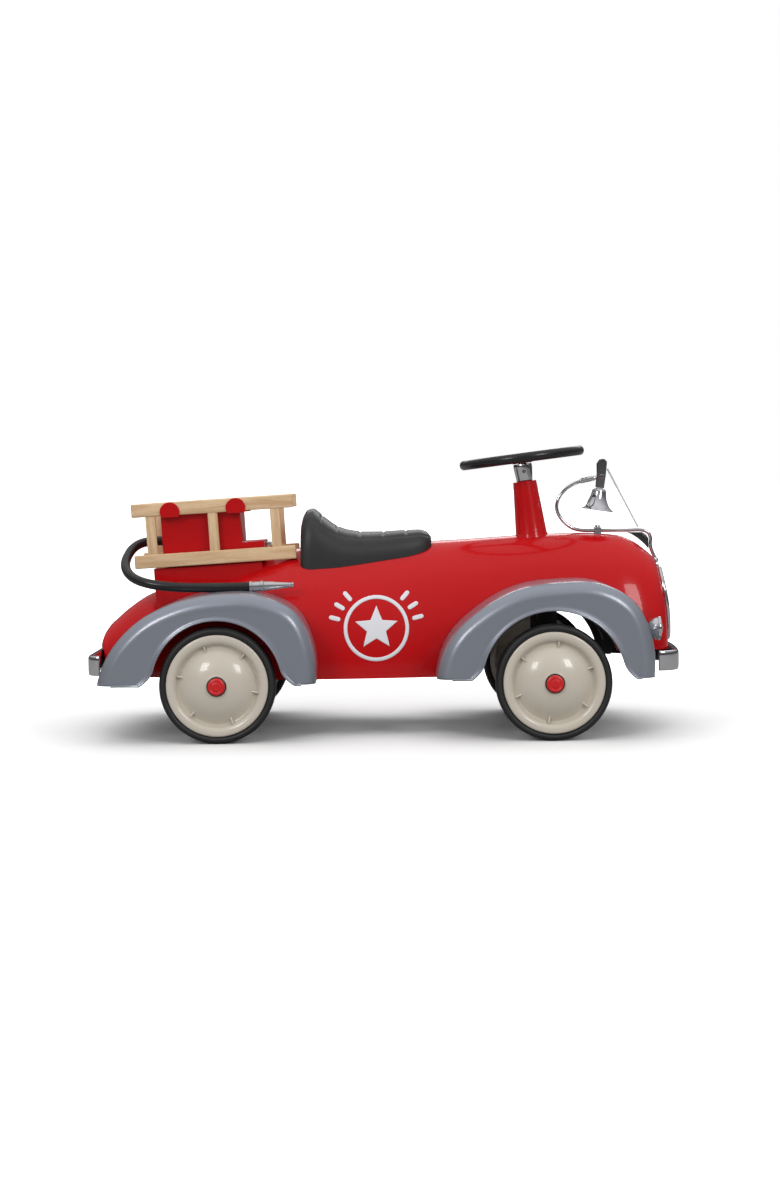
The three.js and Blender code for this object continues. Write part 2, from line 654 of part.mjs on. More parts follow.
// The body's top and half width at a place along it.
function sectionAt(x) {
  const stations = bodyStations();
  const next = stations.findIndex((station) => station.x >= x);
  const [a, b] = [stations[next - 1], stations[next]];
  const share = (x - a.x) / (b.x - a.x);
  return { top: a.top + share * (b.top - a.top), half: a.half + share * (b.half - a.half) };
}

// Height of the body's surface at a place along and across it.
function deckAt(x, y) {
  const { top, half } = sectionAt(x);
  const rise = (1 - Math.abs(y / half) ** SECTION_POWER) ** (1 / SECTION_POWER);
  return BODY_FLOOR + (top - BODY_FLOOR) * rise;
}

// The same on the body's flat facets.
function facetAt(x, y) {
  const { top, half } = sectionAt(x);
  const aside = Math.abs(y / half);
  for (let k = 1; k <= SECTION_STEPS / 2; k++) {
    const [wide, low] = sectionPoint((k - 1) / SECTION_STEPS, SECTION_POWER);
    const [narrow, high] = sectionPoint(k / SECTION_STEPS, SECTION_POWER);
    if (aside >= narrow) {
      const rise = low + ((wide - aside) / (wide - narrow)) * (high - low);
      return BODY_FLOOR + (top - BODY_FLOOR) * rise;
    }
  }
  return top;
}

function seat() {
  const rings = SEAT_STATIONS.map(([share, height, width]) => {
    const x = SEAT_BACK_X + share * SEAT_LENGTH;
    const half = width * SEAT_HALF_WIDTH;
    const top = deckAt(x, 0) + height * SEAT_BACK_HEIGHT;
    const low = deckAt(x, half) - 1;
    const ring = [];
    for (let k = 0; k <= SECTION_STEPS; k++) {
      const [across, up] = sectionPoint(k / SECTION_STEPS, SEAT_POWER);
      ring.push(at(x, -half * across, low + (top - low) * up));
    }
    return ring;
  });
  return cut(loft(rings), bodyForm(CLEARANCE));
}

// ---------------------------------------------------------------- bumpers, grille and lamps
// The bumper's plan: a shallow bow with rounded returns, offset inwards for its back edge.
function bumperLine(bow, corner, inset) {
  const half = BUMPER_HALF_WIDTH - inset;
  const radius = corner - inset;
  const points = [];
  for (let k = -4; k <= 4; k++) {
    const y = (k / 4) * (BUMPER_HALF_WIDTH - corner);
    points.push([-inset - bow * (k / 4) ** 2, y]);
  }
  const ends = [1, 2, 3, 4].map((k) => {
    const turn = (k / 4) * (Math.PI / 2);
    return [-bow - corner + radius * Math.cos(turn), half - radius + radius * Math.sin(turn)];
  });
  const left = ends.map(([x, y]) => [x, -y]).reverse();
  return [...left, ...points, ...ends];
}

function bumper(bow, corner) {
  const outer = bumperLine(bow, corner, 0);
  const inner = bumperLine(bow, corner, BUMPER_DEPTH).reverse();
  return plateXY(outline([...outer, ...inner]), BUMPER_Z, BUMPER_Z + BUMPER_HEIGHT, 2);
}

const FRONT_BUMPER = { bow: 5, corner: 28 };
const REAR_BUMPER = { bow: 0.5, corner: REAR_OVERHANG - REAR_FENDER.arch - REAR_HEEL_BAND - 2 };

// A bolted block between a bumper and the end of the body.
function bumperMount(face, way) {
  const inner = face - way * (BUMPER_DEPTH + 2 * CLEARANCE);
  const reach = face - way * 60;
  const [low, high] = way > 0 ? [reach, inner] : [inner, reach];
  return cut(block(low, high, -26, 26, BUMPER_Z + 4, BUMPER_Z + BUMPER_HEIGHT - 6), bodyForm(CLEARANCE));
}

// The grille's outline: distance from the middle, and height as a share of BODY_HEIGHT.
const GRILLE_SIDE = [[26, 0.2295], [33, 0.2861], [38, 0.4448], [37, 0.5921], [29, 0.694], [15, 0.7507]];
const GRILLE_MIDDLE = 0.49;
const GRILLE = outline([
  ...GRILLE_SIDE, ...[...GRILLE_SIDE].reverse().map(([y, share]) => [-y, share]),
].map(([y, share]) => [y, BODY_FLOOR + share * BODY_HEIGHT]));

function shrunk(points, share) {
  const middle = new THREE.Vector2(0, BODY_FLOOR + GRILLE_MIDDLE * BODY_HEIGHT);
  return points.map((point) => point.clone().sub(middle).multiplyScalar(share).add(middle));
}

function onNose(solid, thickness) {
  return cut(common(solid, bodyForm(thickness)), bodyForm(CLEARANCE));
}

function grilleFrame() {
  const band = cut(
    plateYZ(GRILLE, NOSE_X - 60, NOSE_X), plateYZ(shrunk(GRILLE, 0.86), NOSE_X - 70, NOSE_X + 10));
  return onNose(band, 5);
}

function grilleBars() {
  const panel = plateYZ(shrunk(GRILLE, 0.85), NOSE_X - 60, NOSE_X);
  const middle = BODY_FLOOR + GRILLE_MIDDLE * BODY_HEIGHT;
  const slots = [-22, -11, 0, 11, 22].map((y) => {
    const reach = 0.193 * BODY_HEIGHT - Math.abs(y) * 0.35;
    return block(NOSE_X - 80, NOSE_X + 5, y - 3, y + 3, middle - reach, middle + reach);
  });
  return onNose(cut(panel, ...slots), 3.2);
}

function noseKnob() {
  const knob = turned([[0, 0], [2.4, 0], [2.4, 3], [4.2, 5], [4.2, 8], [2.5, 10], [0, 10.5]], 14);
  knob.rotateY(Math.PI / 2 - 0.7).translate(NOSE_X - 26, 0, BODY_FLOOR + 0.79 * BODY_HEIGHT - 3);
  return cut(knob, bodyForm(CLEARANCE));
}

const LAMP_Y = BODY_HALF_WIDTH - 7;
const LAMP_Z = WHEEL_RADIUS + 60;
const LAMP_X = NOSE_X - 44;
const LAMP_RADIUS = 15;
const LAMP_RIM = 2.2;
const FRONT_FENDER_GROWN = {
  ...FRONT_FENDER,
  crown: FRONT_FENDER.crown.map(([degrees, band]) => [degrees, band + CLEARANCE]),
};

function alongX(pairs, sides, x, y, z) {
  return turned(pairs, sides).rotateY(Math.PI / 2).translate(x, y, z);
}

function lampBucket() {
  const rim = LAMP_RADIUS;
  const bucket = [
    [0, 0], [7, 0.6], [12, 4], [rim - 1, 11], [rim, 12], [rim, 16],
    [rim - LAMP_RIM, 16], [rim - LAMP_RIM, 12], [0, 12],
  ];
  const shell = alongX(bucket, 20, LAMP_X, -LAMP_Y, LAMP_Z);
  return cut(shell, fenderShell(FRONT_FENDER_GROWN), bodyForm(CLEARANCE));
}

function lampLens() {
  const edge = LAMP_RADIUS - LAMP_RIM - CLEARANCE;
  const lens = [[0, 12.4], [edge, 12.4], [edge, 15], [edge * 0.7, 17.5], [0, 19]];
  return alongX(lens, 20, LAMP_X, -LAMP_Y, LAMP_Z);
}

// ---------------------------------------------------------------- bell and its bracket
const HOOD_ROD_Z = HOOD_Z + 2.8;
const ROD_FRONT_X = NOSE_X - 27;

// The bracket rod's route in X and Z: first from its front corner, then from the bell's pivot.
const ROD_ALONG_HOOD = [[0, -40], [0, -22], [0, -11], [-3, -3.5], [-11, 0], [-30, 0], [-58, 0], [-84, 0]];
const ROD_LOOP = [
  [-34, -67.2], [-43.5, -62], [-51.5, -54], [-57, -43.5], [-57, -33], [-53, -24],
  [-45.5, -15.5], [-36, -9], [-25, -5], [-12, -2], [-7, -1],
];

function bellBracket() {
  const reach = (x, z) => at(BELL_X + x, 0, BELL_PIVOT_Z + z);
  const route = [
    ...ROD_ALONG_HOOD.map(([x, z]) => at(ROD_FRONT_X + x, 0, HOOD_ROD_Z + z)),
    ...ROD_LOOP.map(([x, z]) => reach(x, z)),
  ];
  const rod = routed(route, BRACKET_ROD_RADIUS, 6, 40);
  const sleeve = bar(3.4, reach(-26, -5.2), reach(-8, -1.2), 12);
  const eye = crossBar(4.6, BELL_X, BELL_PIVOT_Z, -3.2, 3.2, 14);
  const neck = block(BELL_X - 12, BELL_X - 2, -2.4, 2.4, BELL_PIVOT_Z - 3.4, BELL_PIVOT_Z + 1.6);
  const bore = crossBar(PIVOT_RADIUS + CLEARANCE, BELL_X, BELL_PIVOT_Z, -9, 9, 12);
  return cut(join(rod, sleeve, eye, neck), bore, bodyForm(CLEARANCE));
}

function bellPin() {
  return crossBar(PIVOT_RADIUS, BELL_X, BELL_PIVOT_Z, -8.2, 8.2, 12);
}

// A cap bolt with a saddle that clamps the bracket rod down on the bonnet.
function rodClamp() {
  const x = BELL_X - 5;
  const saddle = block(x - 4, x + 4, -8, 8, HOOD_ROD_Z - 5, HOOD_ROD_Z + BRACKET_ROD_RADIUS + 2);
  const bolt = post(3.4, x, 0, HOOD_ROD_Z, HOOD_ROD_Z + BRACKET_ROD_RADIUS + 4.5, 6);
  const groove = bar(
    BRACKET_ROD_RADIUS + CLEARANCE, at(x - 20, 0, HOOD_ROD_Z), at(x + 20, 0, HOOD_ROD_Z), 10);
  return cut(join(saddle, bolt), groove, bodyForm(CLEARANCE));
}

// The web plate in the front corner of the bracket rod.
function bracketWeb() {
  const rodGap = BRACKET_ROD_RADIUS + CLEARANCE;
  const back = ROD_FRONT_X - 34;
  const web = plateXZ(outline([
    [back, HOOD_ROD_Z - rodGap], [back, HOOD_ROD_Z - 20], [ROD_FRONT_X - rodGap, HOOD_ROD_Z - 30],
    [ROD_FRONT_X - rodGap, HOOD_ROD_Z - 11], [ROD_FRONT_X - rodGap - 3, HOOD_ROD_Z - 5.5],
    [ROD_FRONT_X - 11, HOOD_ROD_Z - rodGap],
  ]), -2, 2);
  return cut(web, bodyForm(CLEARANCE));
}

// The yoke's own frame has its origin on the pivot and hangs the bell down -Z.
function bellYoke() {
  const cheek = plateXZ(outline([
    [-5, -13], [5, -13], [5, 4], [4, 20], [0, 23], [-5, 22], [-8, 16], [-6, 4],
  ]), 4, 5.6);
  const foot = block(-5, 5, -5.6, 5.6, -14.5, -12.5);
  const crest = block(-6, 3, -5.6, 5.6, 17.5, 20.5);
  const hole = crossBar(PIVOT_RADIUS + CLEARANCE, 0, 0, -9, 9, 12);
  return cut(join(cheek, mirrored(cheek), foot, crest), hole);
}

const BELL_CROWN = -14.5 - CLEARANCE;
const BELL_HEIGHT = 28.5;
const BELL_WALL = 2.5;            // at the crown

function bell() {
  const r = BELL_MOUTH_RADIUS;
  const top = BELL_CROWN;
  const mouth = BELL_CROWN - BELL_HEIGHT;
  return turned([
    [0, top], [r * 0.3, top], [r * 0.42, top - 3], [r * 0.5, top - 10], [r * 0.62, top - 19],
    [r * 0.8, mouth + 4], [r, mouth + 1], [r, mouth], [r * 0.93, mouth], [r * 0.73, mouth + 4.5],
    [r * 0.54, top - 18], [r * 0.42, top - 10], [r * 0.34, top - 4.5], [r * 0.24, top - BELL_WALL],
    [0, top - BELL_WALL],
  ], 18);
}

const CLAPPER_TOP = BELL_CROWN - BELL_WALL - CLEARANCE;
const CLAPPER_LENGTH = 22;

function clapper() {
  const top = CLAPPER_TOP;
  const low = top - CLAPPER_LENGTH;
  return turned(
    [[0, top], [1.2, top], [1.2, low + 4.2], [3.4, low + 1.5], [3.4, low - 1.5], [0, low - 4]], 10);
}

const CORD_TOP = at(BELL_X + 8, 0, BELL_PIVOT_Z + 10);
const CORD_FOOT = at(ROD_FRONT_X - 16, 0, HOOD_ROD_Z + BRACKET_ROD_RADIUS + 1.4);

function bellCord() {
  return bar(1.2, CORD_FOOT, CORD_TOP, 8);
}

// ---------------------------------------------------------------- rear rack, ladders and hose
const RAIL_HALF = LADDER_RAIL_HEIGHT / 2;
const RACK_LIFT = rackLift();     // middle of the lower ladder rails, at the rack's middle

// The lift that keeps each lower rail's inner edge clear of the body all along.
function rackLift() {
  const y = LADDER_Y - LADDER_THICKNESS / 2;
  const steps = 20;
  let lift = 0;
  for (let k = 0; k <= steps; k++) {
    const along = (k / steps - 0.5) * LADDER_LENGTH;
    const x = RACK_X + along * Math.cos(RACK_TILT) + RAIL_HALF * Math.sin(RACK_TILT);
    lift = Math.max(lift, facetAt(x, y) - along * Math.sin(RACK_TILT));
  }
  return lift + RAIL_HALF * Math.cos(RACK_TILT) + RACK_OVER_DECK;
}

function rackPlaced(geometry) {
  return geometry.rotateY(-RACK_TILT).translate(RACK_X, 0, RACK_LIFT);
}

const BOX_BACK = -67;
const BOX_FRONT = 34;
const STEP_FRONT = 62;            // the low step in front of the box
const STEP_HIGH = 16.5;
const BOX_LOW = -RAIL_HALF - 0.6;
const BOX_HIGH = LADDER_RAIL_SPACING - RAIL_HALF + 4;

function boxBase() {
  const half = BOX_HALF_WIDTH + 5;
  const base = rackPlaced(block(-80, 58, -half, half, -75, BOX_LOW - CLEARANCE));
  return cut(base, bodyForm(CLEARANCE));
}

const HOOK_X = [-53.5, 30];
const HOOK_RADIUS = 12.7;

// One upturned hook beside the box: a shelf under the upper rail and a round-topped tab outside it.
function ladderHook(x, side) {
  const shelfTop = LADDER_RAIL_SPACING - RAIL_HALF - CLEARANCE;
  const outerY = LADDER_Y + LADDER_THICKNESS / 2 + CLEARANCE;
  const shelf = block(x - 9, x + 9, BOX_HALF_WIDTH - 1, outerY + SHEET, shelfTop - SHEET, shelfTop);
  const middle = new THREE.Vector2(x, LADDER_RAIL_SPACING + RAIL_HALF - HOOK_RADIUS);
  const dome = circle(HOOK_RADIUS, 16).slice(0, 9).map((point) => point.add(middle));
  const feet = outline([[x - 11, shelfTop - SHEET], [x + 11, shelfTop - SHEET]]);
  const hook = join(shelf, plateXZ([...dome, ...feet], outerY, outerY + SHEET));
  return side > 0 ? hook : mirrored(hook);
}

function equipmentBox() {
  const half = BOX_HALF_WIDTH;
  const outer = join(
    block(BOX_BACK, BOX_FRONT, -half, half, BOX_LOW, BOX_HIGH),
    block(BOX_FRONT - 1, STEP_FRONT, -half, half, BOX_LOW, STEP_HIGH));
  const inner = half - SHEET;
  const inside = block(
    BOX_BACK + SHEET, BOX_FRONT - SHEET, -inner, inner, BOX_LOW + SHEET, BOX_HIGH + 9);
  const exit = (x) => at(x, HOSE_EXIT_Y, HOSE_EXIT_LIFT);
  const hoseHole = bar(HOSE_RADIUS + 1, exit(BOX_BACK - 5), exit(BOX_BACK + 8), 12);
  const hooks = HOOK_X.flatMap((x) => [ladderHook(x, 1), ladderHook(x, -1)]);
  return cut(rackPlaced(join(cut(outer, inside, hoseHole), ...hooks)), bodyForm(CLEARANCE));
}

function boxLatch() {
  return rackPlaced(block(STEP_FRONT + CLEARANCE, STEP_FRONT + 7, -6, 6, 4, 14));
}

function ladder() {
  const half = LADDER_THICKNESS / 2;
  const end = LADDER_LENGTH / 2;
  const rail = (z) => block(-end, end, -half, half, z - RAIL_HALF, z + RAIL_HALF);
  const rungs = [-1, 0, 1].map((k) => block(
    k * RUNG_PITCH - RUNG_WIDTH / 2, k * RUNG_PITCH + RUNG_WIDTH / 2,
    1 - half, half - 1, 0, LADDER_RAIL_SPACING));
  return join(rail(0), rail(LADDER_RAIL_SPACING), ...rungs);
}

// The rubber hose: out of the box's back wall, round to the right and forward along the fender.
const HOSE_ROUTE = [
  at(-283.5, 5, 242.3), at(-293, 5, 242.5), at(-304, 2.5, 242), at(-315, -5, 239.5),
  at(-323, -17, 234), at(-327.5, -32, 226), at(-329, -48, 217), at(-326, -64, 208.5),
  at(-318, -79, 201), at(-306, -90, 195.5), at(-290, -96, 191.5), at(-270, -98.5, 188.8),
  at(-248, -99, 187.4), at(-226, -99, 187), at(-205, -99, 187), at(-187, -99, 187.2),
  at(-169, -99, 187.6),
];

function hose() {
  return routed(HOSE_ROUTE, HOSE_RADIUS, 8, 28);
}

function hoseNozzle() {
  const end = HOSE_ROUTE[HOSE_ROUTE.length - 1];
  return alongX([
    [0, 0], [7, 0], [7, 4], [6.2, 4.4], [6.2, 14], [7, 14.4], [7, 18], [6, 18.6],
    [5.6, 26], [3.2, 50], [3.2, 55], [0, 55],
  ], 12, CLEARANCE, 0, 0).rotateY(-0.035).translate(end.x, end.y, end.z);
}

// ---------------------------------------------------------------- assembly
add('body_shell', bodyShell(), 'red');
add('floor_pan', floorPan(), 'blackSteel');

for (const [place, fender] of [['front', FRONT_FENDER], ['rear', REAR_FENDER]]) {
  const shell = fenderShell(fender);
  add(`right_${place}_fender`, shell, 'silver');
  add(`left_${place}_fender`, mirrored(shell), 'silver');
}

for (const [place, axleX] of [['front', FRONT_AXLE_X], ['rear', REAR_AXLE_X]]) {
  addWheel(`right_${place}`, axleX, -1);
  addWheel(`left_${place}`, axleX, 1);
}

add('rear_axle', rearAxle(), 'steel');
add('right_axle_saddle', axleSaddle(-48), 'blackSteel');
add('left_axle_saddle', axleSaddle(48), 'blackSteel');
add('front_axle_beam', frontAxleBeam(), 'blackSteel');
add('front_axle_bracket', axleBracket(), 'blackSteel');
add('right_knuckle', rightKnuckle(), 'blackSteel');
add('left_knuckle', mirrored(rightKnuckle()), 'blackSteel');
add('tie_rod', tieRod(), 'steel');
add('steering_shaft', steeringShaft(), 'steel');
add('column_shroud', columnShroud(), 'red');

const column = new THREE.Group();
column.position.set(STEERING_X, 0, STEERING_Z);
column.rotation.y = -COLUMN_LEAN;
model.add(column);
add('steering_wheel', steeringWheel(), 'blackPlastic', column);
add('steering_collar', steeringCollar(), 'chrome', column);
add('collar_screw', collarScrew(), 'steel', column);

add('seat', seat(), 'blackPlastic');

const frontBumper = bumper(FRONT_BUMPER.bow, FRONT_BUMPER.corner).translate(NOSE_X, 0, 0);
const rearBumper = bumper(REAR_BUMPER.bow, REAR_BUMPER.corner).rotateZ(Math.PI).translate(TAIL_X, 0, 0);
add('front_bumper', frontBumper, 'chrome');
add('rear_bumper', rearBumper, 'chrome');
add('front_bumper_mount', bumperMount(NOSE_X, 1), 'blackSteel');
add('rear_bumper_mount', bumperMount(TAIL_X, -1), 'blackSteel');
add('grille_frame', grilleFrame(), 'chrome');
add('grille_bars', grilleBars(), 'chrome');
add('nose_knob', noseKnob(), 'chrome');
add('right_headlamp', lampBucket(), 'chrome');
add('left_headlamp', mirrored(lampBucket()), 'chrome');
add('right_headlamp_lens', lampLens(), 'lens');
add('left_headlamp_lens', mirrored(lampLens()), 'lens');

add('bell_bracket', bellBracket(), 'chrome');
add('bell_pin', bellPin(), 'chrome');
add('rod_clamp', rodClamp(), 'chrome');
add('bracket_web', bracketWeb(), 'steel');
add('bell_cord', bellCord(), 'cord');

const hanging = new THREE.Group();
hanging.position.set(BELL_X, 0, BELL_PIVOT_Z);
hanging.rotation.y = BELL_LEAN;
model.add(hanging);
add('bell_yoke', bellYoke(), 'chrome', hanging);
add('bell', bell(), 'chrome', hanging);
add('bell_clapper', clapper(), 'steel', hanging);

add('box_base', boxBase(), 'red');
add('equipment_box', equipmentBox(), 'red');
add('box_latch', boxLatch(), 'chrome');

for (const [side, name] of [[-1, 'right_ladder'], [1, 'left_ladder']]) {
  const rack = new THREE.Group();
  rack.position.set(RACK_X, side * LADDER_Y, RACK_LIFT);
  rack.rotation.y = -RACK_TILT;
  model.add(rack);
  add(name, ladder(), 'wood', rack);
}

add('hose', hose(), 'rubber');
add('hose_nozzle', hoseNozzle(), 'chrome');

export default model;
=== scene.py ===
# %% [markdown]
# # A ride-on fire engine in pressed steel
# The imported model gives every moving body, every size and every place. This lesson dresses it: each
# visible piece is modelled again with a fine surface and a finish of its own, and rides on the body
# that carries the piece in the real toy. We load the frame first and keep its box.

# %% Load the frame
import json
import math
from bisect import bisect_right

import bmesh
import bpy
from mathutils import Matrix, Vector


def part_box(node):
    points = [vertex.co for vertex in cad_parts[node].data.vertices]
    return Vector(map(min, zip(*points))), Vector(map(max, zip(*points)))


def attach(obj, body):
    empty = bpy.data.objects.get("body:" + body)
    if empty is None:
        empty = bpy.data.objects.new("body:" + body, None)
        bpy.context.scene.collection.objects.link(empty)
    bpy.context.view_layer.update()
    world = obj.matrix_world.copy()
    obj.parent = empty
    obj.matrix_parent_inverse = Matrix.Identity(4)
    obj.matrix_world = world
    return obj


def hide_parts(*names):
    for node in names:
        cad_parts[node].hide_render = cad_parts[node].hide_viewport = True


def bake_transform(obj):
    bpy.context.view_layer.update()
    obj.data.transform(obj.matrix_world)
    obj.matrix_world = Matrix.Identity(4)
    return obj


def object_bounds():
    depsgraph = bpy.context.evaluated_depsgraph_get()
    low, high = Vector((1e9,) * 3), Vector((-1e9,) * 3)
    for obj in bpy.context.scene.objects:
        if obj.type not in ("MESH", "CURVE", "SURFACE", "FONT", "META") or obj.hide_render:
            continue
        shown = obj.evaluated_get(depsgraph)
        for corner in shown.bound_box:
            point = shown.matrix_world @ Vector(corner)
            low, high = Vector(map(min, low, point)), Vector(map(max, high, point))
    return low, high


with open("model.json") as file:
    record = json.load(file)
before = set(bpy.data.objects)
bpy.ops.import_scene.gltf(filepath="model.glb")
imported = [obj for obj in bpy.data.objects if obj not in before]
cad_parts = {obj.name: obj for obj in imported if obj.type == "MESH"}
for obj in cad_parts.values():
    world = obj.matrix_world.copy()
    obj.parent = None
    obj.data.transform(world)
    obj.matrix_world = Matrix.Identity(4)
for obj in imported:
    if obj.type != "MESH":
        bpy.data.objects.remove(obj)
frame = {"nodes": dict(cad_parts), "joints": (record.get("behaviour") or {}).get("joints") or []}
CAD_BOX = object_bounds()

MM = 0.001
TURN = 2 * math.pi
SCENE = bpy.context.scene
NOSE_X = CAD_BOX[1].x
TAIL_X = CAD_BOX[0].x
JOINTS = {joint["name"]: joint for joint in frame["joints"]}
print("frame box", [round(v, 4) for v in (*CAD_BOX[0], *CAD_BOX[1])])

# %% [markdown]
# ## Camera
# A long lens from the car's right side, a little above the bonnet and tipped down a few degrees,
# shows the whole side without bending the wheels into eggs.

# %% Camera
CAMERA_PLACE = Vector((5.6, -2430, 317)) * MM
CAMERA_TIP = math.radians(3.56)
CAMERA_ROLL = math.radians(-0.55)
CAMERA_LENS = 56.6
camera_data = bpy.data.cameras.new("camera")
camera_data.sensor_width = 36
camera_data.lens = CAMERA_LENS
camera = bpy.data.objects.new("camera", camera_data)
camera.matrix_world = (
    Matrix.Translation(CAMERA_PLACE)
    @ Matrix.Rotation(math.pi / 2 - CAMERA_TIP, 4, "X")
    @ Matrix.Rotation(CAMERA_ROLL, 4, "Z")
)
SCENE.collection.objects.link(camera)
SCENE.camera = camera
print("camera at", tuple(camera.matrix_world.translation))

# %% [markdown]
# ## Helpers for meshes
# Nearly every piece here is one of three things: a profile spun round an axis, a grid laid over a
# formula, or a loop carried along a line. Each helper starts from a Blender operator and leaves the
# finished object at the origin, with its place in its mesh.

# %% Objects from meshes
MERGE_REACH = 0.01 * MM


def outwards(bm):
    """Merge doubles and turn every face of a closed shape outwards."""
    bmesh.ops.remove_doubles(bm, verts=bm.verts, dist=MERGE_REACH)
    bmesh.ops.recalc_face_normals(bm, faces=bm.faces)
    return bm


def away_from(bm, point):
    """Turn an open sheet so that it faces away from a point."""
    bmesh.ops.remove_doubles(bm, verts=bm.verts, dist=MERGE_REACH)
    bmesh.ops.recalc_face_normals(bm, faces=bm.faces)
    bm.normal_update()
    lean = sum(f.normal.dot(f.calc_center_median() - Vector(point)) * f.calc_area() for f in bm.faces)
    if lean < 0:
        bmesh.ops.reverse_faces(bm, faces=bm.faces)
    return bm


def object_from(name, bm, material=None):
    """Put a bmesh into the scene. One that has a material is shaded smooth."""
    mesh = bpy.data.meshes.new(name)
    bm.to_mesh(mesh)
    bm.free()
    if material:
        mesh.shade_smooth()
        mesh.materials.append(material)
    obj = bpy.data.objects.new(name, mesh)
    SCENE.collection.objects.link(obj)
    return obj


def piece(name, bm, body, material, replaces=(), sharp=32):
    """A finished object from a bmesh, riding on a body. Edges over sharp degrees stay crisp."""
    obj = object_from(name, bm, material)
    obj.data.set_sharp_from_angle(angle=math.radians(sharp))
    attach(obj, body)
    if replaces:
        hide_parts(*replaces)
    return obj


def apply_modifiers(obj):
    """Swap the object's mesh for the one that its modifiers make."""
    evaluated = obj.evaluated_get(bpy.context.evaluated_depsgraph_get())
    mesh = bpy.data.meshes.new_from_object(evaluated)
    old = obj.data
    obj.modifiers.clear()
    obj.data = mesh
    mesh.name = old.name
    return obj


def add_wall(obj, thickness, offset, inner=0):
    """Give an open sheet a thickness. Its inner side may take another material."""
    wall = obj.modifiers.new("wall", "SOLIDIFY")
    wall.thickness = thickness
    wall.offset = offset
    wall.material_offset = inner


# %% Blocks with softened edges
def soften(bm, verts, rounding, segments):
    """Round every edge of one block."""
    edges = list({edge for vert in verts for edge in vert.link_edges})
    bmesh.ops.bevel(
        bm, geom=edges, offset=rounding, segments=segments, profile=0.5, affect="EDGES", material=-1)


def add_block(bm, place, size, rounding, segments=4, taper=None):
    """A softened block in metres. A taper gives the width's share at the far and the near end."""
    made = bmesh.ops.create_cube(bm, size=1)
    if taper:
        for vert in made["verts"]:
            vert.co.y *= taper[0] if vert.co.x > 0 else taper[1]
    bmesh.ops.transform(bm, matrix=place @ Matrix.Diagonal((*size, 1)), verts=made["verts"])
    soften(bm, made["verts"], rounding, segments)


# %% Spun, gridded and carried shapes
def spun(bm, profile, place, steps=64):
    """Spin pairs of radius and height, in millimetres, round Z, and put the result in place."""
    verts = [bm.verts.new((r * MM, 0, h * MM)) for r, h in profile]
    edges = [bm.edges.new(pair) for pair in zip(verts, verts[1:])]
    made = bmesh.ops.spin(
        bm, geom=verts + edges, cent=(0, 0, 0), axis=(0, 0, 1), angle=TURN, steps=steps, use_merge=True)
    last = [g for g in made["geom_last"] if isinstance(g, bmesh.types.BMVert)]
    reached = set(verts) | set(last)
    front = list(reached)
    while front:
        vert = front.pop()
        for edge in vert.link_edges:
            other = edge.other_vert(vert)
            if other not in reached:
                reached.add(other)
                front.append(other)
    bmesh.ops.transform(bm, matrix=place, verts=list(reached))
    return bm


def gridded(bm, across, along, place):
    """Lay a grid over a formula: place(u, v) gives each point, with u and v from 0 to 1."""
    made = bmesh.ops.create_grid(bm, x_segments=across, y_segments=along, size=1)
    for vert in made["verts"]:
        vert.co = place((vert.co.x + 1) / 2, (vert.co.y + 1) / 2)
    return made["verts"]


def carried(bm, line, section, count=16, capped=True, up=Vector((0, 1, 0))):
    """Carry a loop along a line of points. section(turn, share) gives its two offsets in metres."""
    rings = []
    for i, point in enumerate(line):
        way = (line[min(i + 1, len(line) - 1)] - line[max(i - 1, 0)]).normalized()
        side = way.cross(up).normalized()
        if i and side.dot(last_side) < 0:
            side.negate()
        last_side = side
        over = side.cross(way).normalized()
        made = bmesh.ops.create_circle(bm, cap_ends=False, segments=count, radius=1)
        for vert in made["verts"]:
            turn = math.atan2(vert.co.y, vert.co.x)
            a, b = section(turn, i / (len(line) - 1))
            vert.co = point + side * a + over * b
        rings.append(list({edge for vert in made["verts"] for edge in vert.link_edges}))
    for first, second in zip(rings, rings[1:]):
        bmesh.ops.bridge_loops(bm, edges=first + second)
    if capped:
        bmesh.ops.holes_fill(bm, edges=rings[0] + rings[-1], sides=0)
    return bm


def round_section(radius):
    return lambda turn, share: (radius * math.cos(turn), radius * math.sin(turn))


def along_curve(points, steps):
    """Points on a smooth line through the given ones, evenly spaced."""
    lengths = [0.0]
    for a, b in zip(points, points[1:]):
        lengths.append(lengths[-1] + (b - a).length)
    curves = [rounded_curve(lengths, [p[i] for p in points]) for i in range(3)]
    return [Vector([curve(lengths[-1] * k / steps) for curve in curves]) for k in range(steps + 1)]


def rounded_curve(ts, values):
    """A cubic through knots whose slope at each is its neighbours' chord, as on a bent rod."""
    slopes = []
    for i in range(len(ts)):
        a, b = max(i - 1, 0), min(i + 1, len(ts) - 1)
        slopes.append((values[b] - values[a]) / (ts[b] - ts[a]))
    return hermite(ts, values, slopes)


def swelling_curve(ts, values):
    """A cubic through knots that never bulges between two of them, as on pressed sheet."""
    steps = [(b - a) / (t - s) for a, b, s, t in zip(values, values[1:], ts, ts[1:])]
    inner = [0 if a * b <= 0 else 2 * a * b / (a + b) for a, b in zip(steps, steps[1:])]
    return hermite(ts, values, [steps[0], *inner, steps[-1]])


def hermite(ts, values, slopes):
    def value(t):
        i = max(0, min(len(ts) - 2, bisect_right(ts, t) - 1))
        width = ts[i + 1] - ts[i]
        s = max(0.0, min(1.0, (t - ts[i]) / width))
        a, b = values[i], values[i + 1]
        ease = s * s * (3 - 2 * s)
        return (
            a + (b - a) * ease
            + slopes[i] * width * s * (1 - s) ** 2
            - slopes[i + 1] * width * s * s * (1 - s)
        )

    return value


print("helpers ready")
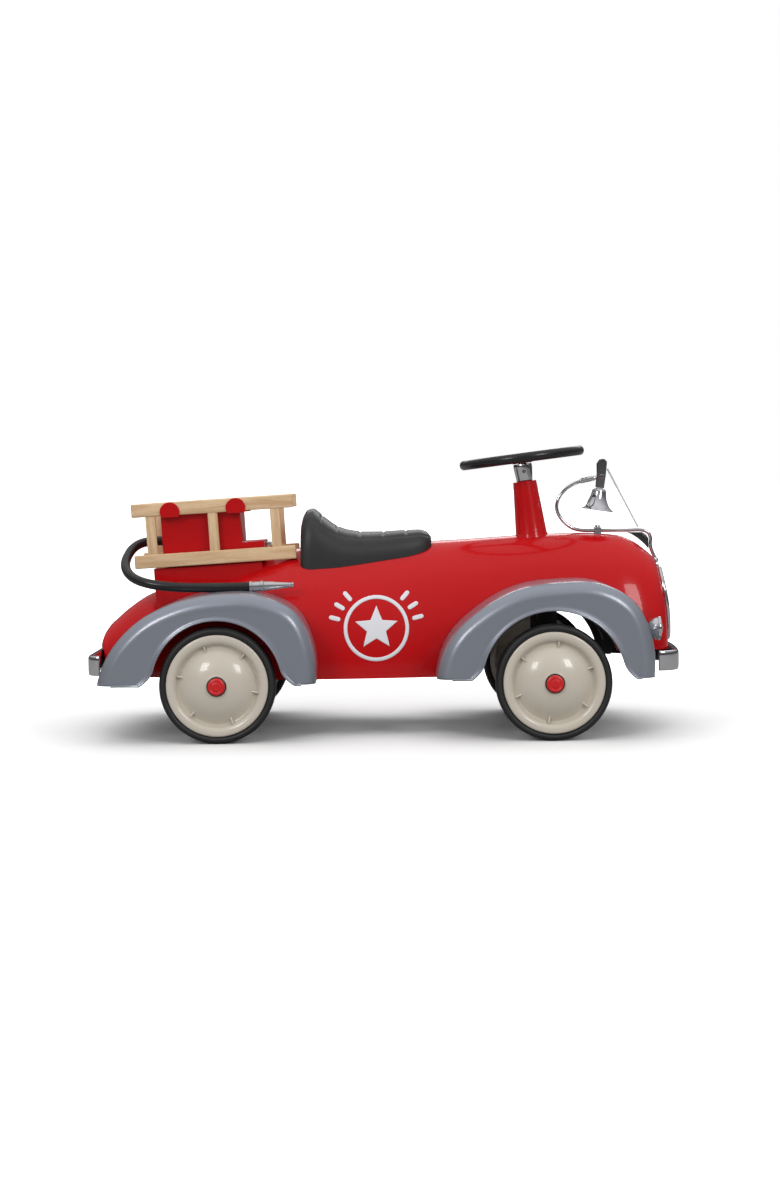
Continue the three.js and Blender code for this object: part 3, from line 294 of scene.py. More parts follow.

# %% [markdown]
# ## Shared effects
# Three effects turn up in many finishes, so each is a node group with named inputs. Fine surface
# gives a small bump and a slow change of tone, the edge mask lightens sharp edges, partly as wear
# where hands rub and partly as a painted highlight, and settled dust lies on whatever faces up.
# They put out only values, and the shader stays outside.


# %% Node groups
def new_group(name, inputs, outputs):
    tree = bpy.data.node_groups.new(name, "ShaderNodeTree")
    for label, kind, value in inputs:
        socket = tree.interface.new_socket(name=label, in_out="INPUT", socket_type=kind)
        if value is not None:
            socket.default_value = value
    for label, kind in outputs:
        tree.interface.new_socket(name=label, in_out="OUTPUT", socket_type=kind)
    start = tree.nodes.new("NodeGroupInput")
    end = tree.nodes.new("NodeGroupOutput")
    return tree, start, end


def node(tree, kind, settings=None, **inputs):
    """A node with some settings and some input values."""
    made = tree.nodes.new(kind)
    for key, value in (settings or {}).items():
        setattr(made, key, value)
    for key, value in inputs.items():
        made.inputs[key.replace("_", " ")].default_value = value
    return made


def fine_surface_group():
    tree, start, end = new_group(
        "fine_surface",
        [("Vector", "NodeSocketVector", None), ("Grain Scale", "NodeSocketFloat", 900.0),
         ("Drift Scale", "NodeSocketFloat", 9.0)],
        [("Grain", "NodeSocketFloat"), ("Drift", "NodeSocketFloat")])
    grain = node(tree, "ShaderNodeTexNoise", Detail=3.0, Roughness=0.6)
    drift = node(tree, "ShaderNodeTexNoise", Detail=4.0, Roughness=0.55)
    for noise, scale, out in ((grain, "Grain Scale", "Grain"), (drift, "Drift Scale", "Drift")):
        tree.links.new(start.outputs["Vector"], noise.inputs["Vector"])
        tree.links.new(start.outputs[scale], noise.inputs["Scale"])
        tree.links.new(noise.outputs["Fac"], end.inputs[out])
    return tree


# Lightens sharp edges by pointiness: partly wear where hands rub, partly a painted highlight.
def edge_wear_and_highlight_group():
    tree, start, end = new_group(
        "edge_wear_and_highlight",
        [("Vector", "NodeSocketVector", None), ("Reach", "NodeSocketFloat", 0.55)],
        [("Mask", "NodeSocketFloat")])
    shape = node(tree, "ShaderNodeNewGeometry")
    noise = node(tree, "ShaderNodeTexNoise", Scale=120.0, Detail=4.0)
    top = node(tree, "ShaderNodeMath", {"operation": "ADD"})
    top.inputs[1].default_value = 0.08
    ramp = node(tree, "ShaderNodeMapRange", {"clamp": True})
    times = node(tree, "ShaderNodeMath", {"operation": "MULTIPLY", "use_clamp": True})
    tree.links.new(start.outputs["Vector"], noise.inputs["Vector"])
    tree.links.new(start.outputs["Reach"], top.inputs[0])
    tree.links.new(shape.outputs["Pointiness"], ramp.inputs["Value"])
    tree.links.new(start.outputs["Reach"], ramp.inputs["From Min"])
    tree.links.new(top.outputs[0], ramp.inputs["From Max"])
    tree.links.new(ramp.outputs["Result"], times.inputs[0])
    tree.links.new(noise.outputs["Fac"], times.inputs[1])
    tree.links.new(times.outputs[0], end.inputs["Mask"])
    return tree


def settled_dust_group():
    tree, start, end = new_group(
        "settled_dust",
        [("Vector", "NodeSocketVector", None), ("Amount", "NodeSocketFloat", 0.2)],
        [("Mask", "NodeSocketFloat")])
    shape = node(tree, "ShaderNodeNewGeometry")
    split = node(tree, "ShaderNodeSeparateXYZ")
    facing = node(tree, "ShaderNodeMapRange", {"clamp": True}, From_Min=0.3, From_Max=1.0)
    noise = node(tree, "ShaderNodeTexNoise", Scale=38.0, Detail=8.0, Roughness=0.75)
    patch = node(tree, "ShaderNodeMapRange", {"clamp": True}, From_Min=0.4, From_Max=0.75)
    both = node(tree, "ShaderNodeMath", {"operation": "MULTIPLY"})
    amount = node(tree, "ShaderNodeMath", {"operation": "MULTIPLY", "use_clamp": True})
    tree.links.new(shape.outputs["Normal"], split.inputs["Vector"])
    tree.links.new(split.outputs["Z"], facing.inputs["Value"])
    tree.links.new(start.outputs["Vector"], noise.inputs["Vector"])
    tree.links.new(noise.outputs["Fac"], patch.inputs["Value"])
    tree.links.new(facing.outputs["Result"], both.inputs[0])
    tree.links.new(patch.outputs["Result"], both.inputs[1])
    tree.links.new(both.outputs[0], amount.inputs[0])
    tree.links.new(start.outputs["Amount"], amount.inputs[1])
    tree.links.new(amount.outputs[0], end.inputs["Mask"])
    return tree


FINE_SURFACE = fine_surface_group()
EDGE_WEAR_AND_HIGHLIGHT = edge_wear_and_highlight_group()
SETTLED_DUST = settled_dust_group()
print("node groups", [g.name for g in (FINE_SURFACE, EDGE_WEAR_AND_HIGHLIGHT, SETTLED_DUST)])

# %% [markdown]
# ## Finishes
# Enamel, plating, rubber, moulded plastic and zinc differ in colour, gloss and grain, not in how
# they are put together. One function lays the shared effects under a Principled shader, and each
# finish gives it its own colour, roughness, grain and edge colour, which is partly wear and partly a
# painted highlight.


# %% A finish from the shared effects
def place_group(tree, group, vector, **inputs):
    made = tree.nodes.new("ShaderNodeGroup")
    made.node_tree = group
    for key, value in inputs.items():
        made.inputs[key.replace("_", " ")].default_value = value
    tree.links.new(vector, made.inputs["Vector"])
    return made


def mixed(tree, mask, first, second):
    """Mix two colours by a mask. Each is a colour or another node's output."""
    mix = node(tree, "ShaderNodeMix", {"data_type": "RGBA"})
    tree.links.new(mask, mix.inputs[0])
    for value, socket in ((first, mix.inputs[6]), (second, mix.inputs[7])):
        if isinstance(value, bpy.types.NodeSocket):
            tree.links.new(value, socket)
        else:
            socket.default_value = (*value, 1)
    return mix.outputs[2]


def roughness_from(tree, value, low, high):
    spread = node(tree, "ShaderNodeMapRange", {"clamp": True}, From_Min=0.3, From_Max=0.7)
    spread.inputs["To Min"].default_value = low
    spread.inputs["To Max"].default_value = high
    tree.links.new(value, spread.inputs["Value"])
    return spread.outputs["Result"]


def finish(name, colour, shade, rough, grain=900.0, bump=0.02, edge=None, dust=0.05, **shader):
    """A material: colour drifts to shade, roughness runs between two values, grain lifts the surface."""
    made = bpy.data.materials.new(name)
    made.use_nodes = True
    tree = made.node_tree
    bsdf = tree.nodes["Principled BSDF"]
    for key, value in shader.items():
        bsdf.inputs[key.replace("_", " ")].default_value = value
    vector = node(tree, "ShaderNodeTexCoord").outputs["Object"]
    surface = place_group(tree, FINE_SURFACE, vector, Grain_Scale=grain)
    tone = mixed(tree, surface.outputs["Drift"], colour, shade)
    # The edge colour on sharp edges is partly wear and partly a painted highlight.
    if edge:
        wear_and_highlight = place_group(tree, EDGE_WEAR_AND_HIGHLIGHT, vector)
        tone = mixed(tree, wear_and_highlight.outputs["Mask"], tone, edge)
    dusty = place_group(tree, SETTLED_DUST, vector, Amount=dust)
    tone = mixed(tree, dusty.outputs["Mask"], tone, DUST_COLOUR)
    tree.links.new(tone, bsdf.inputs["Base Color"])
    tree.links.new(roughness_from(tree, surface.outputs["Drift"], *rough), bsdf.inputs["Roughness"])
    lift = node(tree, "ShaderNodeBump", Strength=bump, Distance=GRAIN_DEPTH)
    tree.links.new(surface.outputs["Grain"], lift.inputs["Height"])
    tree.links.new(lift.outputs["Normal"], bsdf.inputs["Normal"])
    return made


DUST_COLOUR = (0.5, 0.48, 0.45)
GRAIN_DEPTH = 0.2 * MM
# Each edge colour below is lighter than its finish: partly wear, partly a painted highlight on sharp edges.
RED_ENAMEL = finish(
    "red_enamel", (0.56, 0.0035, 0.006), (0.5, 0.003, 0.005), (0.2, 0.26), grain=260, bump=0.03,
    edge=(0.62, 0.02, 0.02), dust=0.01, Coat_Weight=0.35, Coat_Roughness=0.04, Specular_IOR_Level=0.15)
GREY_ENAMEL = finish(
    "grey_enamel", (0.29, 0.31, 0.36), (0.27, 0.29, 0.34), (0.3, 0.37), grain=1800, bump=0.05,
    edge=(0.3, 0.32, 0.35), dust=0.03, Metallic=0.45, Coat_Weight=0.5, Coat_Roughness=0.12)
CREAM_ENAMEL = finish(
    "cream_enamel", (0.66, 0.6, 0.51), (0.62, 0.56, 0.47), (0.22, 0.28), grain=300, bump=0.03,
    edge=(0.72, 0.67, 0.58), dust=0.03, Coat_Weight=0.5, Coat_Roughness=0.06)
WHITE_PRINT = finish(
    "white_print", (0.8, 0.8, 0.84), (0.76, 0.76, 0.8), (0.3, 0.36), grain=500, bump=0.02, dust=0.02)
# Near black, on the inner side of the body and fender sheets and on the floor pan.
DARK_UNDERSIDE = finish(
    "dark_underside", (0.012, 0.011, 0.011), (0.018, 0.016, 0.016), (0.5, 0.7), grain=700, bump=0.25, dust=0.15)
CHASSIS_BLACK = finish(
    "chassis_black", (0.012, 0.012, 0.013), (0.018, 0.018, 0.02), (0.34, 0.48), grain=1100, bump=0.1,
    edge=(0.05, 0.05, 0.052), dust=0.2)
CHROME = finish(
    "chrome", (0.74, 0.74, 0.76), (0.7, 0.7, 0.72), (0.05, 0.1), grain=300, bump=0.02, dust=0.02,
    Metallic=1.0)
ZINC = finish(
    "zinc", (0.42, 0.42, 0.43), (0.34, 0.34, 0.35), (0.28, 0.42), grain=1500, bump=0.12, dust=0.1,
    Metallic=1.0)
DARK_STEEL = finish(
    "dark_steel", (0.1, 0.1, 0.105), (0.07, 0.07, 0.075), (0.22, 0.34), grain=900, bump=0.05, dust=0.05,
    Metallic=0.9)
TYRE_RUBBER = finish(
    "tyre_rubber", (0.013, 0.013, 0.014), (0.02, 0.02, 0.021), (0.42, 0.56), grain=1300, bump=0.18,
    edge=(0.03, 0.03, 0.03), dust=0.12)
HOSE_RUBBER = finish(
    "hose_rubber", (0.009, 0.009, 0.01), (0.014, 0.014, 0.015), (0.22, 0.32), grain=1500, bump=0.08,
    dust=0.06)
SEAT_PLASTIC = finish(
    "seat_plastic", (0.017, 0.017, 0.018), (0.024, 0.024, 0.025), (0.4, 0.5), grain=1150, bump=0.35,
    edge=(0.05, 0.05, 0.052), dust=0.06)
WHEEL_PLASTIC = finish(
    "wheel_plastic", (0.012, 0.012, 0.013), (0.017, 0.017, 0.018), (0.24, 0.34), grain=1400, bump=0.1,
    dust=0.04)
CAP_PLASTIC = finish(
    "cap_plastic", (0.7, 0.012, 0.014), (0.62, 0.01, 0.012), (0.24, 0.32), grain=900, bump=0.05,
    edge=(0.85, 0.12, 0.1), dust=0.03)
CORD_FIBRE = finish(
    "cord_fibre", (0.74, 0.72, 0.68), (0.62, 0.6, 0.56), (0.8, 0.95), grain=2600, bump=0.5, dust=0.0,
    Sheen_Weight=0.3)
print("plain finishes ready")

# %% [markdown]
# ## Wood and glass
# Pine has pale early wood and darker late wood in long bands along the grain, with fine pores. The
# grain runs along the rails and across them on the rungs, so the same function turns its pattern.


# %% Pine and lens
RACK_TILT = math.radians(3.3)


def pine(name, along_z):
    made = bpy.data.materials.new(name)
    made.use_nodes = True
    tree = made.node_tree
    bsdf = tree.nodes["Principled BSDF"]
    bsdf.inputs["Specular IOR Level"].default_value = 0.4
    bsdf.inputs["Coat Weight"].default_value = 0.15
    bsdf.inputs["Coat Roughness"].default_value = 0.3
    vector = node(tree, "ShaderNodeTexCoord").outputs["Object"]
    turned = node(tree, "ShaderNodeMapping")
    turned.inputs["Rotation"].default_value = (0, RACK_TILT, 0)
    tree.links.new(vector, turned.inputs["Vector"])
    stretched = node(tree, "ShaderNodeMapping")
    stretched.inputs["Scale"].default_value = (1, 1, 0.07) if along_z else (0.07, 1, 1)
    tree.links.new(turned.outputs["Vector"], stretched.inputs["Vector"])
    figure = node(tree, "ShaderNodeTexNoise", Scale=170.0, Detail=3.0, Distortion=0.6)
    fibres = node(tree, "ShaderNodeTexNoise", Scale=1500.0, Detail=2.0)
    for noise in (figure, fibres):
        tree.links.new(stretched.outputs["Vector"], noise.inputs["Vector"])
    bands = node(tree, "ShaderNodeMapRange", {"clamp": True}, From_Min=0.42, From_Max=0.7)
    tree.links.new(figure.outputs["Fac"], bands.inputs["Value"])
    tone = mixed(tree, bands.outputs["Result"], (0.78, 0.55, 0.33), (0.6, 0.37, 0.19))
    pores = node(tree, "ShaderNodeMapRange", {"clamp": True}, From_Min=0.55, From_Max=0.85)
    tree.links.new(fibres.outputs["Fac"], pores.inputs["Value"])
    tone = mixed(tree, pores.outputs["Result"], tone, (0.5, 0.32, 0.17))
    # Lighter sharp edges: partly wear, partly a painted highlight.
    wear_and_highlight = place_group(tree, EDGE_WEAR_AND_HIGHLIGHT, vector)
    tone = mixed(tree, wear_and_highlight.outputs["Mask"], tone, (0.84, 0.64, 0.42))
    tree.links.new(tone, bsdf.inputs["Base Color"])
    tree.links.new(roughness_from(tree, fibres.outputs["Fac"], 0.42, 0.62), bsdf.inputs["Roughness"])
    lift = node(tree, "ShaderNodeBump", Strength=0.25, Distance=0.0003)
    tree.links.new(fibres.outputs["Fac"], lift.inputs["Height"])
    tree.links.new(lift.outputs["Normal"], bsdf.inputs["Normal"])
    return made


def lens_glass():
    made = bpy.data.materials.new("lens_glass")
    made.use_nodes = True
    tree = made.node_tree
    bsdf = tree.nodes["Principled BSDF"]
    bsdf.inputs["Base Color"].default_value = (0.9, 0.93, 0.95, 1)
    bsdf.inputs["Transmission Weight"].default_value = 0.85
    bsdf.inputs["IOR"].default_value = 1.47
    vector = node(tree, "ShaderNodeTexCoord").outputs["Object"]
    surface = place_group(tree, FINE_SURFACE, vector, Grain_Scale=400.0)
    tree.links.new(roughness_from(tree, surface.outputs["Drift"], 0.03, 0.09), bsdf.inputs["Roughness"])
    return made


PINE_ALONG = pine("pine_along", along_z=False)
PINE_UPRIGHT = pine("pine_upright", along_z=True)
LENS_GLASS = lens_glass()
print("pine and lens ready")

# %% [markdown]
# ## Hose and nozzle
# The hose is soft rubber, 12 mm thick. It comes straight out of the box's back wall, drops round to
# the right and runs forward along the fender's crown, where its nozzle lies. A curve with a round
# bevel follows the route of the solid that holds its place.

# %% Hose
HOSE_DIAMETER = 0.012
HOSE_ROUTE = [
    (-283.5, 5, 242.3), (-293, 5, 242.5), (-304, 2.5, 242), (-315, -5, 239.5), (-323, -17, 234),
    (-327.5, -32, 226), (-329, -48, 217), (-326, -64, 208.5), (-318, -79, 201), (-306, -90, 195.5),
    (-290, -96, 191.5), (-270, -98.5, 188.8), (-248, -99, 187.4), (-226, -99, 187), (-205, -99, 187),
    (-187, -99, 187.2), (-169, -99, 187.6),
]


def length_of(points):
    return sum((b - a).length for a, b in zip(points, points[1:]))


def hose():
    line = along_curve([Vector(p) * MM for p in HOSE_ROUTE], 96)
    data = bpy.data.curves.new("rubber_hose", "CURVE")
    data.dimensions = "3D"
    data.bevel_depth = HOSE_DIAMETER / 2
    data.bevel_resolution = 7
    data.use_fill_caps = True
    spline = data.splines.new("POLY")
    spline.points.add(len(line) - 1)
    for point, place in zip(spline.points, line):
        point.co = (*place, 1)
    spline.use_smooth = True
    data.materials.append(HOSE_RUBBER)
    obj = bpy.data.objects.new("rubber_hose", data)
    SCENE.collection.objects.link(obj)
    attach(obj, "root")
    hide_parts("hose")
    return obj, line


def nozzle(start):
    profile = [
        (4.2, 0.4), (6.6, 0.4), (7, 0.8), (7, 3.6), (6.6, 4), (6.1, 4.3), (6.1, 6), (6.3, 9), (6.1, 12),
        (6.1, 13.7), (6.6, 14), (7, 14.4), (7, 17.4), (6.6, 18), (5.9, 18.6), (5.8, 22), (5.4, 27),
        (4.6, 35), (3.6, 45), (3.1, 50), (3.1, 52.2), (3.5, 52.8), (3.5, 54.8), (3.1, 55.3), (2.1, 55.3),
        (2.1, 46), (0, 44),
    ]
    turn = Matrix.Rotation(math.pi / 2 - 0.035, 4, "Y")
    bm = spun(bmesh.new(), [(0, 0.4), *profile], Matrix.Translation(start) @ turn, 56)
    return piece("chrome_nozzle", outwards(bm), "root", CHROME, ["hose_nozzle"])


HOSE, HOSE_LINE = hose()
NOZZLE = nozzle(HOSE_LINE[-1])
print("hose length", round(length_of(HOSE_LINE), 4))

# %% [markdown]
# ## The body's form
# The body is drawn from cross-sections, as a shipwright would: each station has a place along the
# car, a lower edge, a top and a half width. A cubic that never bulges between two stations joins
# them, and a power a little over two squares each section slightly, as the presses did.

# %% Body form
BODY_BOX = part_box("body_shell")
BODY_FLOOR = BODY_BOX[0].z
BODY_HEIGHT = BODY_BOX[1].z - BODY_FLOOR
BODY_HALF_WIDTH = BODY_BOX[1].y
SECTION_POWER = 2.2
TAIL_STATIONS = [
    (3, 35.5, 0.235, 0.12), (5.5, 34.5, 0.275, 0.24), (8.5, 34.2, 0.312, 0.31), (10.5, 18, 0.33, 0.35),
    (16, 2.5, 0.371, 0.4), (23, 0, 0.405, 0.45), (38, 0, 0.479, 0.5),
]
MIDDLE_STATIONS = [
    (0.048, 0.587, 0.56), (0.128, 0.674, 0.68), (0.205, 0.756, 0.81), (0.282, 0.844, 0.92),
    (0.337, 0.903, 0.98), (0.4, 0.924, 1), (0.51, 0.938, 0.95), (0.605, 0.949, 0.87),
    (0.68, 0.96, 0.82), (0.76, 0.978, 0.795), (0.84, 0.994, 0.785), (0.923, 1, 0.775),
]
NOSE_STATIONS = [
    (73, 0.983, 0.765), (51, 0.938, 0.745), (36, 0.877, 0.715), (26, 0.827, 0.685),
    (18, 0.734, 0.62), (13, 0.626, 0.54), (10.8, 0.5, 0.46), (10, 0.37, 0.38),
]


def body_stations():
    rows = [(TAIL_X + x * MM, low * MM, top, half) for x, low, top, half in TAIL_STATIONS]
    start, end = rows[-1][0], NOSE_X - NOSE_STATIONS[0][0] * MM
    rows += [(start + share * (end - start), 0, top, half) for share, top, half in MIDDLE_STATIONS]
    rows += [(NOSE_X - x * MM, 0, top, half) for x, top, half in NOSE_STATIONS]
    return [
        (x, BODY_FLOOR + low, BODY_FLOOR + top * BODY_HEIGHT, half * BODY_HALF_WIDTH)
        for x, low, top, half in rows
    ]


def body_curves():
    rows = body_stations()
    marks = [0.0]
    for a, b in zip(rows, rows[1:]):
        marks.append(marks[-1] + math.hypot(b[0] - a[0], b[2] - a[2]))
    marks = [mark / marks[-1] for mark in marks]
    return [swelling_curve(marks, [row[i] for row in rows]) for i in range(4)]


BODY_X, BODY_LOW, BODY_TOP, BODY_HALF = body_curves()


def share_at(x):
    """How far along the body's form a place is, from 0 at the tail to 1 at the nose."""
    low, high = 0.0, 1.0
    for _ in range(26):
        middle = (low + high) / 2
        if BODY_X(middle) < x:
            low = middle
        else:
            high = middle
    return (low + high) / 2


def deck_z(x, y):
    """Height of the body's surface."""
    s = share_at(x)
    low, top, half = BODY_LOW(s), BODY_TOP(s), BODY_HALF(s)
    inside = max(0.0, 1 - abs(y / half) ** SECTION_POWER)
    return low + (top - low) * inside ** (1 / SECTION_POWER)


def side_y(x, z):
    """Half width of the body's surface."""
    s = share_at(x)
    low, top, half = BODY_LOW(s), BODY_TOP(s), BODY_HALF(s)
    rise = min(1.0, max(0.0, (z - low) / (top - low)))
    return half * (1 - rise**SECTION_POWER) ** (1 / SECTION_POWER)


def nose_x(y, z):
    """How far forward the nose's surface is."""
    low, high = NOSE_X - 0.12, BODY_X(1)
    for _ in range(22):
        middle = (low + high) / 2
        if deck_z(middle, y) > z:
            low = middle
        else:
            high = middle
    return low


print("body form", len(body_stations()), "stations")

# %% [markdown]
# ## Body shell
# A grid laid over the form makes the outer skin, and Solidify folds it inwards by the sheet's
# thickness. The round well over the front wheels, the holes for the rear axle and the steering
# shaft, and the raised edge under the chin are cut with a boolean and applied, so the edges are real.

# %% Body shell
SHEET = 2 * MM
FRONT_AXLE = Vector(JOINTS["right_knuckle_turn"]["pos_m"])
REAR_AXLE = Vector(JOINTS["right_rear_wheel_spin"]["pos_m"])
STEERING = Vector(JOINTS["steering_turn"]["pos_m"])
COLUMN_LEAN = math.radians(7)
COLUMN = Matrix.Translation(STEERING) @ Matrix.Rotation(-COLUMN_LEAN, 4, "Y")
WHEEL_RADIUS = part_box("right_front_tyre")[1].z / 2
WELL_RADIUS = WHEEL_RADIUS + 20.7 * MM
AXLE_HOLE_RADIUS = 6.5 * MM
SHAFT_HOLE_RADIUS = 7 * MM
SHAFT_HOLE_DROP = 110 * MM
CHIN_Z = 102 * MM
CHIN_START = FRONT_AXLE.x + WELL_RADIUS * 0.93


def body_point(across, along):
    """The formula for the skin: across goes from sill to sill, along from tail to nose."""
    turn = math.pi * across
    x, low, top, half = BODY_X(along), BODY_LOW(along), BODY_TOP(along), BODY_HALF(along)
    side = math.copysign(abs(math.cos(turn)) ** (2 / SECTION_POWER), math.cos(turn))
    rise = abs(math.sin(turn)) ** (2 / SECTION_POWER)
    return Vector((x, -half * side, low + (top - low) * rise))


def add_rod(bm, radius, length, place, segments=32):
    bmesh.ops.create_cone(
        bm, cap_ends=True, segments=segments, radius1=radius, radius2=radius, depth=length, matrix=place)


def body_cutters():
    """Solids that reach right through the body, to be taken away from it."""
    bm = bmesh.new()
    across = Matrix.Rotation(math.pi / 2, 4, "X")
    well = Matrix.Translation((FRONT_AXLE.x, 0, WHEEL_RADIUS)) @ across
    add_rod(bm, WELL_RADIUS, 0.5, well, 96)
    axle = Matrix.Translation((REAR_AXLE.x, 0, WHEEL_RADIUS)) @ across
    add_rod(bm, AXLE_HOLE_RADIUS, 0.5, axle)
    shaft = COLUMN @ Matrix.Translation((0, 0, -SHAFT_HOLE_DROP))
    add_rod(bm, SHAFT_HOLE_RADIUS, 0.1, shaft)
    chin = bmesh.ops.create_cube(bm, size=1)
    shape = Matrix.Translation((CHIN_START + 0.1, 0, CHIN_Z - 0.05)) @ Matrix.Diagonal((0.2, 0.5, 0.1, 1))
    bmesh.ops.transform(bm, matrix=shape, verts=chin["verts"])
    return object_from("body_cutters", bm)


def body_shell():
    bm = bmesh.new()
    verts = gridded(bm, 72, 170, body_point)
    for end in (0.0, 1.0):
        x = BODY_X(end)
        ring = [v for v in verts if abs(v.co.x - x) < 1e-6]
        edges = [e for e in bm.edges if all(v in ring for v in e.verts)]
        bmesh.ops.contextual_create(bm, geom=ring + edges)
    away_from(bm, (0, 0, BODY_FLOOR))
    obj = piece("pressed_body", bm, "root", RED_ENAMEL, ["body_shell"])
    # The inner side of the sheet takes the near-black finish.
    obj.data.materials.append(DARK_UNDERSIDE)
    add_wall(obj, SHEET, -1, inner=1)
    apply_modifiers(obj)
    cutters = body_cutters()
    cut = obj.modifiers.new("cut", "BOOLEAN")
    cut.operation = "DIFFERENCE"
    cut.solver = "EXACT"
    cut.use_self = True
    cut.object = cutters
    apply_modifiers(obj)
    bpy.data.objects.remove(cutters)
    obj.data.set_sharp_from_angle(angle=math.radians(40))
    return obj


BODY = body_shell()
print("pressed body", len(BODY.data.polygons), "faces")

# %% [markdown]
# ## Fenders
# A fender is one pressed sheet: a crown that runs out from the body, a tight rounding, and an outer
# face down to the wheel arch. The grid's long lines follow the crown and the arch together, and a
# rolled bead stiffens the free edge along the arch and under both feet.

# %% Fender shapes
FRONT_FENDER = {
    "axle": FRONT_AXLE.x, "arch": 88.7, "foot": 5, "flare": 12,
    "crown": [
        (4, 35), (25, 43), (44, 49.5), (62, 45), (86, 33), (112, 32.5), (135, 37), (158, 48.5), (176, 53.5),
    ],
}
REAR_FENDER = {
    "axle": REAR_AXLE.x, "arch": 80.5, "foot": 1, "flare": 14,
    "crown": [
        (1, 38.5), (23, 45), (43, 49.5), (64, 40), (90, 30.5), (118, 33), (144, 45.5), (167, 60), (179, 67),
    ],
}
FENDER_FACE = 166.6
FENDER_ROUNDING = 17
FENDER_SHEET = 1.6 * MM
CROWN_END = 0.25
ROUNDING_END = 0.6
BEAD_RADIUS = 1.5
BEAD_START = 0.62


def crown_point(fender, share):
    """A point on the crown's outline, in millimetres from the axle."""
    angles, bands = zip(*fender["crown"])
    reach = rounded_curve(angles, bands)
    first = math.degrees(math.asin(fender["foot"] / (fender["arch"] + bands[0])))
    last = 180 - math.degrees(math.asin(fender["foot"] / (fender["arch"] + bands[-1])))
    angle = first + share * (last - first)
    radius = fender["arch"] + reach(min(max(angle, angles[0]), angles[-1]))
    return Vector((radius * math.cos(math.radians(angle)), radius * math.sin(math.radians(angle))))


def arch_point(fender, share):
    """A point on the wheel arch, which flares out to the feet."""
    first = math.asin(fender["foot"] / fender["arch"])
    angle = first + share * (math.pi - 2 * first)
    x, z = fender["arch"] * math.cos(angle), fender["arch"] * math.sin(angle)
    flare = fender["flare"] * max(0.0, 1 - (z - fender["foot"]) / 20) ** 2.2
    return Vector((x + math.copysign(flare, x), z))


def fender_point(fender, side):
    """The formula for the sheet: u goes from the body over the crown to the arch, v from foot to foot."""
    def place(u, v):
        crown, arch = crown_point(fender, v), arch_point(fender, v)
        drop = (arch - crown).normalized()
        x = fender["axle"] + crown.x * MM
        inner = max(0.045, side_y(x, WHEEL_RADIUS + crown.y * MM) - 0.0012) / MM
        shoulder = FENDER_FACE - FENDER_ROUNDING
        if u < CROWN_END:
            out, down = inner + (shoulder - inner) * u / CROWN_END, 0.0
        elif u < ROUNDING_END:
            turn = (u - CROWN_END) / (ROUNDING_END - CROWN_END) * math.pi / 2
            out = shoulder + FENDER_ROUNDING * math.sin(turn)
            down = FENDER_ROUNDING * (1 - math.cos(turn))
        else:
            share = (u - ROUNDING_END) / (1 - ROUNDING_END)
            lip = 1.1 * max(0.0, (share - 0.75) / 0.25) ** 2
            hollow = 0.8 * math.sin(math.pi * share)
            out = FENDER_FACE + lip - hollow
            down = FENDER_ROUNDING + share * ((arch - crown).length - FENDER_ROUNDING)
        spot = crown + drop * down
        return Vector((fender["axle"] + spot.x * MM, side * out * MM, WHEEL_RADIUS + spot.y * MM))

    return place


# %% Fenders
def fender_sheet(name, fender, side, node_name):
    bm = bmesh.new()
    gridded(bm, 40, 132, fender_point(fender, side))
    away_from(bm, (fender["axle"], side * 0.1, WHEEL_RADIUS))
    obj = piece(name, bm, "root", GREY_ENAMEL, [node_name], sharp=60)
    # The inner side of the sheet takes the near-black finish.
    obj.data.materials.append(DARK_UNDERSIDE)
    add_wall(obj, FENDER_SHEET, -1, inner=1)


def fender_bead(name, fender, side):
    """A round bead up one foot's edge, along the arch and down the other foot's."""
    place = fender_point(fender, side)
    rise = 1 - BEAD_START
    foot = [place(BEAD_START + rise * k / 6, 0) for k in range(6)]
    arch = [place(1, k / 120) for k in range(121)]
    other = [place(1 - rise * k / 6, 1) for k in range(1, 7)]
    bm = carried(bmesh.new(), foot + arch + other, round_section(BEAD_RADIUS * MM), 10)
    return piece(name, outwards(bm), "root", GREY_ENAMEL)


for place_name, fender in (("front", FRONT_FENDER), ("rear", REAR_FENDER)):
    for side_name, side in (("right", -1), ("left", 1)):
        label = f"{side_name}_{place_name}"
        fender_sheet(f"{label}_wing", fender, side, f"{label}_fender")
        fender_bead(f"{label}_wing_bead", fender, side)
print("four fenders with rolled beads")

# %% [markdown]
# ## Wheels
# Each wheel is three spun shapes: a rubber tyre with soft shoulders, a pressed disc whose rim ring
# steps down to a dome, and a plastic cap. Six short ribs join the ring to the dome. The ribs are
# small bevelled blocks, turned round the axle by a loop.

# %% Wheel profiles
TYRE = [
    (57, -10.6), (62.5, -10.8), (62.8, -11.4), (64.2, -12.9), (66, -13.6), (68, -13.2), (69.8, -11.6),
    (70.7, -9), (71, -5), (71, 5), (70.7, 9), (69.8, 11.6), (68, 13.2), (66, 13.6), (64.2, 12.9),
    (62.8, 11.4), (62.5, 10.8), (57, 10.6), (57, -10.6),
]
DISC = [
    (5.5, -12.8), (9, -12.8), (9, 17.6), (12, 17.4), (20, 16), (30, 12.6), (40, 7.2), (45.6, 3.2), (49, 2),
    (55, 2), (55, -12.6), (61.5, -12.6), (62, -12.2), (62, -11.4), (61.5, -11), (56.6, -11), (56.6, 11),
    (61.4, 11), (62, 11.6), (62, 12.6), (61.2, 13.6), (59.6, 14), (56, 13.8), (53.4, 13), (51.6, 11.4),
    (50.6, 9), (49.8, 6.4), (48.9, 5), (47.6, 4.6), (46.2, 5.2), (43, 8), (38.6, 11.2), (33, 14.4),
    (27, 16.8), (21, 18.5), (16, 19.4), (13, 19.8), (12.6, 20), (12, 19.8), (5.5, 19.8), (5.5, -12.8),
]
